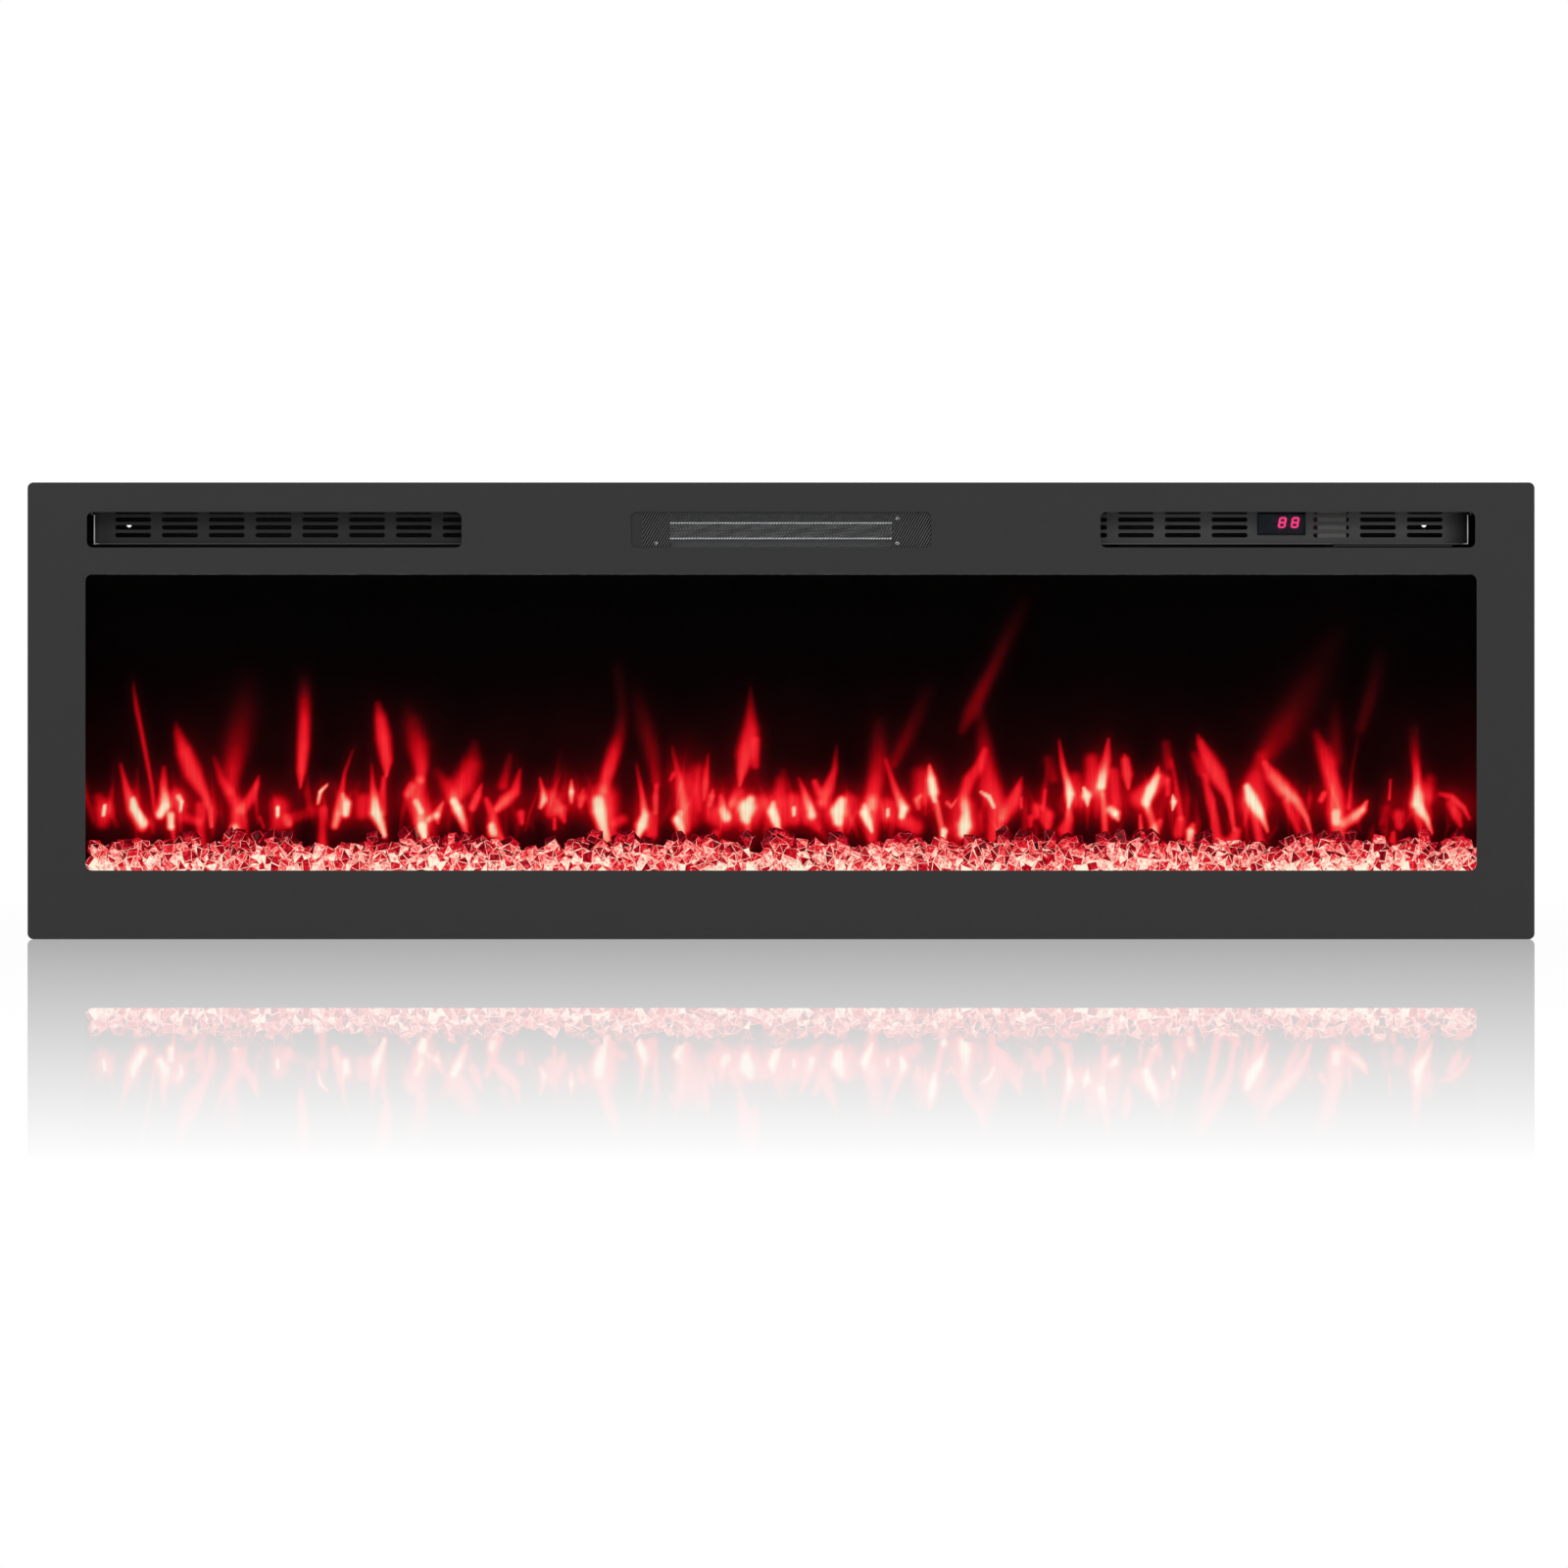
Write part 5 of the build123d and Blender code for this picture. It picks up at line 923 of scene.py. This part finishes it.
class FIREPLACE_OT_crystals(bpy.types.Operator):
    """Piles broken crystals in the tray, each facet with a bright rim."""

    bl_idname = "fireplace.crystals"
    bl_label = "Crystal bed"

    def execute(self, context):
        sizes = context.scene.fireplace_sizes
        low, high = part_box("crystal_tray")
        wall = 2 * MM
        low = Vector((low.x + wall, low.y + wall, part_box("crystals")[0].z))
        high = Vector((high.x - wall, high.y - wall, high.z))
        seats = seats_mesh("crystal_seats", self.seats(low, high, sizes))
        values = {
            "Size": sizes.stone_size, "Rim": sizes.stone_rim, "Seed": SEED, "Low": low,
            "High": Vector((high.x, high.y, 0)),
        }
        mesh = grown_mesh("crystal_bed", self.tree(values, finish_of("crystals")), values, seats)
        piece("crystal_bed", mesh, "chassis", "crystal_acrylic", "crystals")
        return {"FINISHED"}

    def seats(self, low, high, sizes):
        """Middles of the stones: two full layers, then loose ones in a ridge, highest at the back."""
        random = np.random.default_rng(SEED)
        size = sizes.stone_size
        columns = int((high.x - low.x - size) / sizes.stone_pitch)
        step = (high.x - low.x - size) / columns
        rows = np.linspace(low.y + 0.5 * size, high.y - 0.5 * size, 3)
        scatter = np.array([0.25, 0.06, 0.12])
        short_wave, long_wave, wave_share = 17 * MM, 29 * MM, 0.2
        # Height in stones and share kept, for each layer of the front, middle and back row.
        layers = (
            ((0.38, 1), (0.74, 1), (1.06, 0.4)),
            ((0.4, 1), (0.78, 1), (1.18, 0.65)),
            ((0.4, 1), (0.84, 1), (1.26, 0.8), (1.68, 0.45)),
        )
        places = []
        for row, y in enumerate(rows):
            for layer, (height, share) in enumerate(layers[row]):
                odd = (row + layer) % 2
                for i in range(columns + 1 - odd):
                    x = low.x + 0.5 * size + (i + 0.5 * odd) * step
                    ridge = np.sin(x / short_wave) + np.sin(x / long_wave + 1)
                    kept = share == 1 or random.random() < share + wave_share * ridge
                    shift = random.uniform(-1, 1, 3) * size * scatter
                    if kept:
                        places.append((x + shift[0], y + shift[1], low.z + height * size + shift[2]))
        return places

    def tree(self, values, material):
        """Stones on points: a rough ball with random corners and turns, rims cut in every facet."""
        tree, given, result = tree_of("broken_crystals", values)
        ball = add(tree, "GeometryNodeMeshUVSphere", inputs={"Radius": 0.5, "Segments": 5, "Rings": 3})
        # Least and most of each stone's turn and stretch, and of each corner's knock, in stones.
        turn, stretch, knock = (
            add(
                tree, "FunctionNodeRandomValue", {"data_type": "FLOAT_VECTOR"},
                {"Min": (least,) * 3, "Max": (most,) * 3, "Seed": given["Seed"]},
            )
            for least, most in ((0, 2 * math.pi), (0.72, 1.22), (-0.1, 0.1))
        )
        size = given["Size"]
        grow, offset = (
            add(tree, "ShaderNodeVectorMath", {"operation": "SCALE"}, {"Vector": share, "Scale": size})
            for share in (stretch, knock)
        )
        points = add(tree, "GeometryNodeMeshToPoints", inputs={"Mesh": given["Geometry"]})
        placed = add(
            tree, "GeometryNodeInstanceOnPoints",
            inputs={"Points": points, "Instance": ball, "Rotation": turn, "Scale": grow},
        )
        real = add(tree, "GeometryNodeRealizeInstances", inputs={"Geometry": placed})
        rough = add(tree, "GeometryNodeSetPosition", inputs={"Geometry": real, "Offset": offset})
        spot = add(tree, "GeometryNodeInputPosition")
        above = add(tree, "ShaderNodeVectorMath", {"operation": "MAXIMUM"}, {0: spot, 1: given["Low"]})
        within = add(
            tree, "ShaderNodeVectorMath", {"operation": "MINIMUM"}, {0: above, 1: given["High"]}
        )
        settled = add(tree, "GeometryNodeSetPosition", inputs={"Geometry": rough, "Position": within})
        facets = add(
            tree, "GeometryNodeExtrudeMesh", {"mode": "FACES"},
            {"Mesh": settled, "Offset Scale": 0.0, "Individual": True},
        )
        inner = add(
            tree, "GeometryNodeScaleElements",
            inputs={"Geometry": facets, "Selection": facets.outputs["Top"], "Scale": given["Rim"]},
        )
        # Least and most light on a facet and on its rim.
        facet, rim = (
            add(
                tree, "FunctionNodeRandomValue", {"data_type": "FLOAT"},
                {2: least, 3: most, "Seed": given["Seed"]},
            ).outputs[1]
            for least, most in ((0.0, 1.0), (0.55, 1.2))
        )
        level = add(
            tree, "GeometryNodeSwitch", {"input_type": "FLOAT"},
            {"Switch": facets.outputs["Side"], "False": facet, "True": rim},
        )
        lit = add(
            tree, "GeometryNodeStoreNamedAttribute", {"data_type": "FLOAT", "domain": "FACE"},
            {"Geometry": inner, "Name": "facet_light", "Value": level},
        )
        flat = add(tree, "GeometryNodeSetShadeSmooth", inputs={"Geometry": lit, "Shade Smooth": False})
        finish_tree(tree, flat, material, result)
        return tree


class FIREPLACE_OT_outlet_mesh(bpy.types.Operator):
    """Makes the slanted mesh of the heat outlet, strand by strand, in a flat border."""

    bl_idname = "fireplace.outlet_mesh"
    bl_label = "Outlet mesh"

    # Widths of the border, at the left end and elsewhere, and how far a strand runs into it.
    wide, narrow, into = 18 * MM, 5 * MM, 3 * MM

    def execute(self, context):
        sizes = context.scene.fireplace_sizes
        low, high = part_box("outlet_mesh")
        strips = self.border(low, high)
        strands = self.strands(low, high, sizes)
        feet, spans = zip(*strips, *strands)
        flat = [True] * len(strips) + [False] * len(strands)
        seats = seats_mesh("strand_feet", feet, span=spans, flat=flat)
        values = {"Lean": math.pi / 2 - sizes.strand_lean}
        mesh = grown_mesh("outlet_strands", self.tree(values, finish_of("outlet_mesh")), values, seats)
        piece("outlet_strands", mesh, "chassis", "mesh_black", "outlet_mesh")
        return {"FINISHED"}

    def border(self, low, high):
        """Lower middle and size of the border's strips: bottom, top, left end and right end."""
        wide, narrow = self.wide, self.narrow
        middle, y = (low.x + high.x) / 2, (low.y + high.y) / 2
        length, thick, tall = high.x - low.x, high.y - low.y, high.z - low.z - 2 * narrow
        return [
            ((middle, y, low.z), (length, thick, narrow)),
            ((middle, y, high.z - narrow), (length, thick, narrow)),
            ((low.x + wide / 2, y, low.z + narrow), (wide, thick, tall)),
            ((high.x - narrow / 2, y, low.z + narrow), (narrow, thick, tall)),
        ]

    def strands(self, low, high, sizes):
        """Lower end and size of each strand, cut off where it meets the border."""
        left, right = low.x + self.wide - self.into, high.x - self.narrow + self.into
        bottom, top = low.z + self.into, high.z - self.into
        slope = math.tan(sizes.strand_lean)
        run = (top - bottom) / slope
        made = []
        for foot in np.arange(left - run, right, sizes.strand_pitch):
            start, stop = max(foot, left), min(foot + run, right)
            spot = (start, (low.y + high.y) / 2, bottom + (start - foot) * slope)
            length = (stop - start) / math.cos(sizes.strand_lean)
            made.append((spot, (sizes.strand_width, high.y - low.y, length)))
        return made

    def tree(self, values, material):
        """Strands and strips on points, each of the size that its point says."""
        tree, given, result = tree_of("slanted_mesh", values)
        span, flat = (
            add(tree, "GeometryNodeInputNamedAttribute", {"data_type": kind}, {"Name": name})
            for name, kind in (("span", "FLOAT_VECTOR"), ("flat", "BOOLEAN"))
        )
        sloping = add(tree, "FunctionNodeBooleanMath", {"operation": "NOT"}, {0: flat})
        turn = add(tree, "ShaderNodeCombineXYZ", inputs={"Y": given["Lean"]})
        strand = add(
            tree, "GeometryNodeMeshCylinder", inputs={"Vertices": 8, "Radius": 0.5, "Depth": 1.0}
        )
        strip = add(tree, "GeometryNodeMeshCube", inputs={"Size": (1, 1, 1)})
        raised = [
            add(tree, "GeometryNodeTransform", inputs={"Geometry": shape, "Translation": (0, 0, 0.5)})
            for shape in (strand, strip)
        ]
        joined = set_on_points(tree, given["Geometry"], (
            {"Instance": raised[0], "Selection": sloping, "Scale": span, "Rotation": turn},
            {"Instance": raised[1], "Selection": flat, "Scale": span},
        ))
        finish_tree(tree, joined, material, result)
        return tree


class FIREPLACE_OT_screws(bpy.types.Operator):
    """Makes domed screws with cross recesses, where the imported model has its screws."""

    bl_idname = "fireplace.screws"
    bl_label = "Screws"

    def execute(self, context):
        sizes = context.scene.fireplace_sizes
        places, turns, heads, shanks = zip(*self.found(frame["nodes"]["screws"].data))
        seats = seats_mesh("screw_seats", places, turn=turns, head=heads, shank=shanks)
        values = {"Recess width": sizes.recess_width, "Recess depth": sizes.recess_depth}
        mesh = grown_mesh("cross_head_screws", self.tree(values, finish_of("screws")), values, seats)
        piece("cross_head_screws", mesh, "chassis", "zinc_screw", "screws")
        return {"FINISHED"}

    def found(self, mesh):
        """Seat under the head, turn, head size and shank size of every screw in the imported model."""
        same_point = 0.001 * MM
        shape = bmesh.new()
        shape.from_mesh(mesh)
        bmesh.ops.remove_doubles(shape, verts=shape.verts, dist=same_point)
        screws, done = [], set()
        for first in shape.verts:
            if first in done:
                continue
            done.add(first)
            island = [first]
            for vert in island:
                near = [edge.other_vert(vert) for edge in vert.link_edges]
                fresh = [other for other in near if other not in done]
                done.update(fresh)
                island.extend(dict.fromkeys(fresh))
            screws.append(self.measured(np.array([vert.co for vert in island])))
        shape.free()
        return screws

    def measured(self, points):
        """Seat, turn, head size and shank size of one screw, from the points of its head and shank."""
        size = points.max(0) - points.min(0)
        middle = (points.max(0) + points.min(0)) / 2
        axis = int(size.argmax())
        along = points[:, axis] - middle[axis]
        across = np.delete(points - middle, axis, axis=1)
        radius = np.hypot(across[:, 0], across[:, 1])
        near_edge = 0.9 * radius.max()
        head = along[radius > near_edge]
        out = np.zeros(3)
        out[axis] = np.sign(head.mean())
        height = np.ptp(head)
        seat = middle + out * np.abs(head).min()
        turn = Vector(out).to_track_quat("Z", "Y").to_euler()
        shank = (radius.min(), radius.min(), size[axis] - height)
        return seat, turn, (radius.max(), radius.max(), height), shank

    def tree(self, values, material):
        """Domed heads, cut by two crossing slots, and plain shanks, of the sizes at their points."""
        tree, given, result = tree_of("cross_head_screws", values)
        ball = add(tree, "GeometryNodeMeshUVSphere", inputs={"Radius": 1.0, "Segments": 24, "Rings": 10})
        spot = add(tree, "GeometryNodeInputPosition")
        flat_base = (-2, -2, 0)
        raised = add(tree, "ShaderNodeVectorMath", {"operation": "MAXIMUM"}, {0: spot, 1: flat_base})
        dome = add(tree, "GeometryNodeSetPosition", inputs={"Geometry": ball, "Position": raised})
        recess_length = 1.1
        depth = given["Recess depth"]
        height = add(tree, "ShaderNodeMath", {"operation": "MULTIPLY"}, {0: depth, 1: 2.0})
        cut = add(tree, "GeometryNodeMeshBoolean", {"operation": "DIFFERENCE", "solver": "EXACT"})
        tree.links.new(dome.outputs["Geometry"], cut.inputs["Mesh 1"])
        width = given["Recess width"]
        for sides in ({"X": recess_length, "Y": width}, {"X": width, "Y": recess_length}):
            size = add(tree, "ShaderNodeCombineXYZ", inputs={**sides, "Z": height})
            slot = add(tree, "GeometryNodeMeshCube", inputs={"Size": size})
            lifted = add(
                tree, "GeometryNodeTransform", inputs={"Geometry": slot, "Translation": (0, 0, 1)}
            )
            tree.links.new(lifted.outputs["Geometry"], cut.inputs["Mesh 2"])
        rod = add(tree, "GeometryNodeMeshCylinder", inputs={"Vertices": 16, "Radius": 1.0, "Depth": 1.0})
        shank = add(
            tree, "GeometryNodeTransform", inputs={"Geometry": rod, "Translation": (0, 0, -0.5)}
        )
        turn, head_size, shank_size = (
            add(tree, "GeometryNodeInputNamedAttribute", {"data_type": "FLOAT_VECTOR"}, {"Name": name})
            for name in ("turn", "head", "shank")
        )
        joined = set_on_points(tree, given["Geometry"], (
            {"Instance": cut, "Rotation": turn, "Scale": head_size},
            {"Instance": shank, "Rotation": turn, "Scale": shank_size},
        ))
        finish_tree(tree, joined, material, result)
        return tree


class FIREPLACE_OT_finishes(bpy.types.Operator):
    """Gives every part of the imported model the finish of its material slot."""

    bl_idname = "fireplace.finishes"
    bl_label = "Finishes"

    def execute(self, context):
        colours = context.scene.fireplace_colours
        made = plain_finishes() | {slot: maker(colours) for slot, maker in COLOURED_FINISHES.items()}
        # The two plates take shaded and lit copies of the coat: painted shade darkens the left-hand plate
        # and painted light brightens the right-hand one.
        sheared = {
            node: plate_powder_coat(colours, depth)
            for node, depth in (("vent_plate_left", 0.8), ("vent_plate_right", 1.85))
        }
        for part in frame["record"]["subparts"]:
            mesh = frame["nodes"][part["node"]].data
            mesh.materials.clear()
            mesh.materials.append(sheared.get(part["node"], made[part["material_slot"]]))
        return {"FINISHED"}


class FIREPLACE_OT_stage(bpy.types.Operator):
    """Sets the pale floor, the soft lights, the white surround and the camera."""

    bl_idname = "fireplace.stage"
    bl_label = "Stage"

    def execute(self, context):
        stage = context.scene.fireplace_stage
        context.scene.view_settings.view_transform = "Standard"
        self.floor(stage)
        self.lights(stage)
        self.surround(context.scene, stage)
        self.camera(context.scene, stage)
        return {"FINISHED"}

    def floor(self, stage):
        """A large pale floor under the panel, with a soft mirror image close to it."""
        reach, level = stage.floor_reach, CAD_BOX[0].z
        mesh = bpy.data.meshes.new("floor")
        corners = [(x * reach, y * reach, level) for x, y in ((-1, -1), (1, -1), (1, 1), (-1, 1))]
        mesh.from_pydata(corners, [], [(0, 1, 2, 3)])
        mesh.materials.append(self.floor_finish(stage))
        floor = bpy.data.objects.new("floor", mesh)
        bpy.context.scene.collection.objects.link(floor)

    def floor_finish(self, stage):
        # Polished white acrylic sheet: white all over, with a mirror image that fades to the front.
        material = bpy.data.materials.new("white_acrylic_floor")
        material.use_nodes = True
        tree = material.node_tree
        tree.nodes.remove(tree.nodes["Principled BSDF"])
        white = add(tree, "ShaderNodeEmission", inputs={"Color": (1, 1, 1, 1)})
        matt = add(tree, "ShaderNodeBsdfDiffuse", inputs={"Color": linear("#e6e6e6")})
        mirror = add(tree, "ShaderNodeBsdfGlossy", inputs={"Color": (1, 1, 1, 1), "Roughness": 0.0})
        place, axes = object_place(tree)
        # Under the object a little of the white gives way to the floor's own shade.
        shaded_to, plain_from, shaded_share = 0.8, 2.5, 0.9
        away = add(tree, "ShaderNodeVectorMath", {"operation": "LENGTH"}, {0: place})
        plain = add(
            tree, "ShaderNodeMapRange",
            inputs={
                "Value": away.outputs["Value"], "From Min": shaded_to, "From Max": plain_from,
                "To Min": shaded_share, "To Max": 1.0,
            },
        )
        share = add(
            tree, "ShaderNodeMath", {"operation": "MULTIPLY"}, {0: seen_directly(tree), 1: plain}
        )
        pale = add(tree, "ShaderNodeMixShader", inputs={0: share, 1: matt, 2: white})
        # The mirror image thins out evenly in the picture, from the panel's foot to where it ends.
        foot_share, end_slope = 0.58, 0.0767
        eye = stage.view_height - CAD_BOX[0].z
        thinning = foot_share / (end_slope - eye / stage.view_distance)
        to_eye = stage.view_distance - CAD_BOX[0].y
        depth = add(tree, "ShaderNodeMath", {"operation": "ADD"}, {0: axes["Y"], 1: to_eye})
        slope = add(tree, "ShaderNodeMath", {"operation": "DIVIDE"}, {0: -eye * thinning, 1: depth})
        fade = add(
            tree, "ShaderNodeMath", {"operation": "ADD", "use_clamp": True},
            {0: slope, 1: end_slope * thinning},
        )
        fade = add(tree, "ShaderNodeMath", {"operation": "MINIMUM"}, {0: fade, 1: foot_share})
        mixed = add(tree, "ShaderNodeMixShader", inputs={0: fade, 1: pale, 2: mirror})
        tree.links.new(mixed.outputs[0], tree.nodes["Material Output"].inputs["Surface"])
        return material

    def lights(self, stage):
        """Wide soft lights above the front and the back and one at each side, all aimed at the panel."""
        # Name, place, size and power.
        places = (
            ("key_light", (0, -3.4, 2.6), (3.2, 1.6), stage.key_power),
            ("left_light", (-3.4, -2.4, 0.9), (1.4, 2.0), stage.side_power),
            ("right_light", (3.4, -2.4, 0.9), (1.4, 2.0), stage.side_power),
            ("back_light", (0, 3.2, 2.4), (3.2, 1.4), stage.key_power),
        )
        for name, place, (wide, tall), power in places:
            data = bpy.data.lights.new(name, "AREA")
            data.shape = "RECTANGLE"
            data.size, data.size_y = wide, tall
            data.energy = power
            light = bpy.data.objects.new(name, data)
            light.location = place
            light.rotation_euler = (-Vector(place)).to_track_quat("-Z", "Y").to_euler()
            bpy.context.scene.collection.objects.link(light)

    def surround(self, scene, stage):
        """Plain light from all round, seen as white."""
        world = bpy.data.worlds.new("white_surround")
        world.use_nodes = True
        tree = world.node_tree
        plain = tree.nodes["Background"]
        plain.inputs["Color"].default_value = (1, 1, 1, 1)
        plain.inputs["Strength"].default_value = stage.fill
        white = add(tree, "ShaderNodeBackground", inputs={"Color": (1, 1, 1, 1), "Strength": 1.0})
        mixed = add(tree, "ShaderNodeMixShader", inputs={0: seen_directly(tree), 1: plain, 2: white})
        tree.links.new(mixed.outputs[0], tree.nodes["World Output"].inputs["Surface"])
        scene.world = world

    def camera(self, scene, stage):
        """A long lens square to the panel."""
        sensor, off_centre = 36.0, 3 * MM
        data = bpy.data.cameras.new("front_camera")
        data.sensor_width = sensor
        data.lens = sensor * stage.view_distance / stage.view_width
        camera = bpy.data.objects.new("front_camera", data)
        camera.location = (off_centre, CAD_BOX[0].y - stage.view_distance, stage.view_height)
        camera.rotation_euler = (math.pi / 2, 0, 0)
        scene.collection.objects.link(camera)
        scene.camera = camera


STEPS = (
    FIREPLACE_OT_finishes, FIREPLACE_OT_flames, FIREPLACE_OT_crystals, FIREPLACE_OT_outlet_mesh,
    FIREPLACE_OT_screws, FIREPLACE_OT_stage,
)
GROUPS = {
    "fireplace_colours": FireplaceColours,
    "fireplace_sizes": FireplaceSizes,
    "fireplace_stage": FireplaceStage,
}


class FIREPLACE_PT_sidebar(bpy.types.Panel):
    """Lists the steps that dress the fireplace, with their sizes and colours."""

    bl_idname = "FIREPLACE_PT_sidebar"
    bl_label = "Electric fireplace"
    bl_space_type = "VIEW_3D"
    bl_region_type = "UI"
    bl_category = "Fireplace"

    def draw(self, context):
        column = self.layout.column()
        for name in GROUPS:
            group = getattr(context.scene, name)
            for value in group.__annotations__:
                column.prop(group, value)
        for step in STEPS:
            column.operator(step.bl_idname)


def register():
    for name, group in GROUPS.items():
        bpy.utils.register_class(group)
        setattr(bpy.types.Scene, name, bpy.props.PointerProperty(type=group))
    for item in (*STEPS, FIREPLACE_PT_sidebar):
        bpy.utils.register_class(item)


def unregister():
    for item in (FIREPLACE_PT_sidebar, *reversed(STEPS)):
        bpy.utils.unregister_class(item)
    for name, group in GROUPS.items():
        delattr(bpy.types.Scene, name)
        bpy.utils.unregister_class(group)


def main():
    register()
    bpy.ops.fireplace.finishes()
    bpy.ops.fireplace.flames()
    bpy.ops.fireplace.crystals()
    bpy.ops.fireplace.outlet_mesh()
    bpy.ops.fireplace.screws()
    bpy.ops.fireplace.stage()


if __name__ == "__main__":
    main()
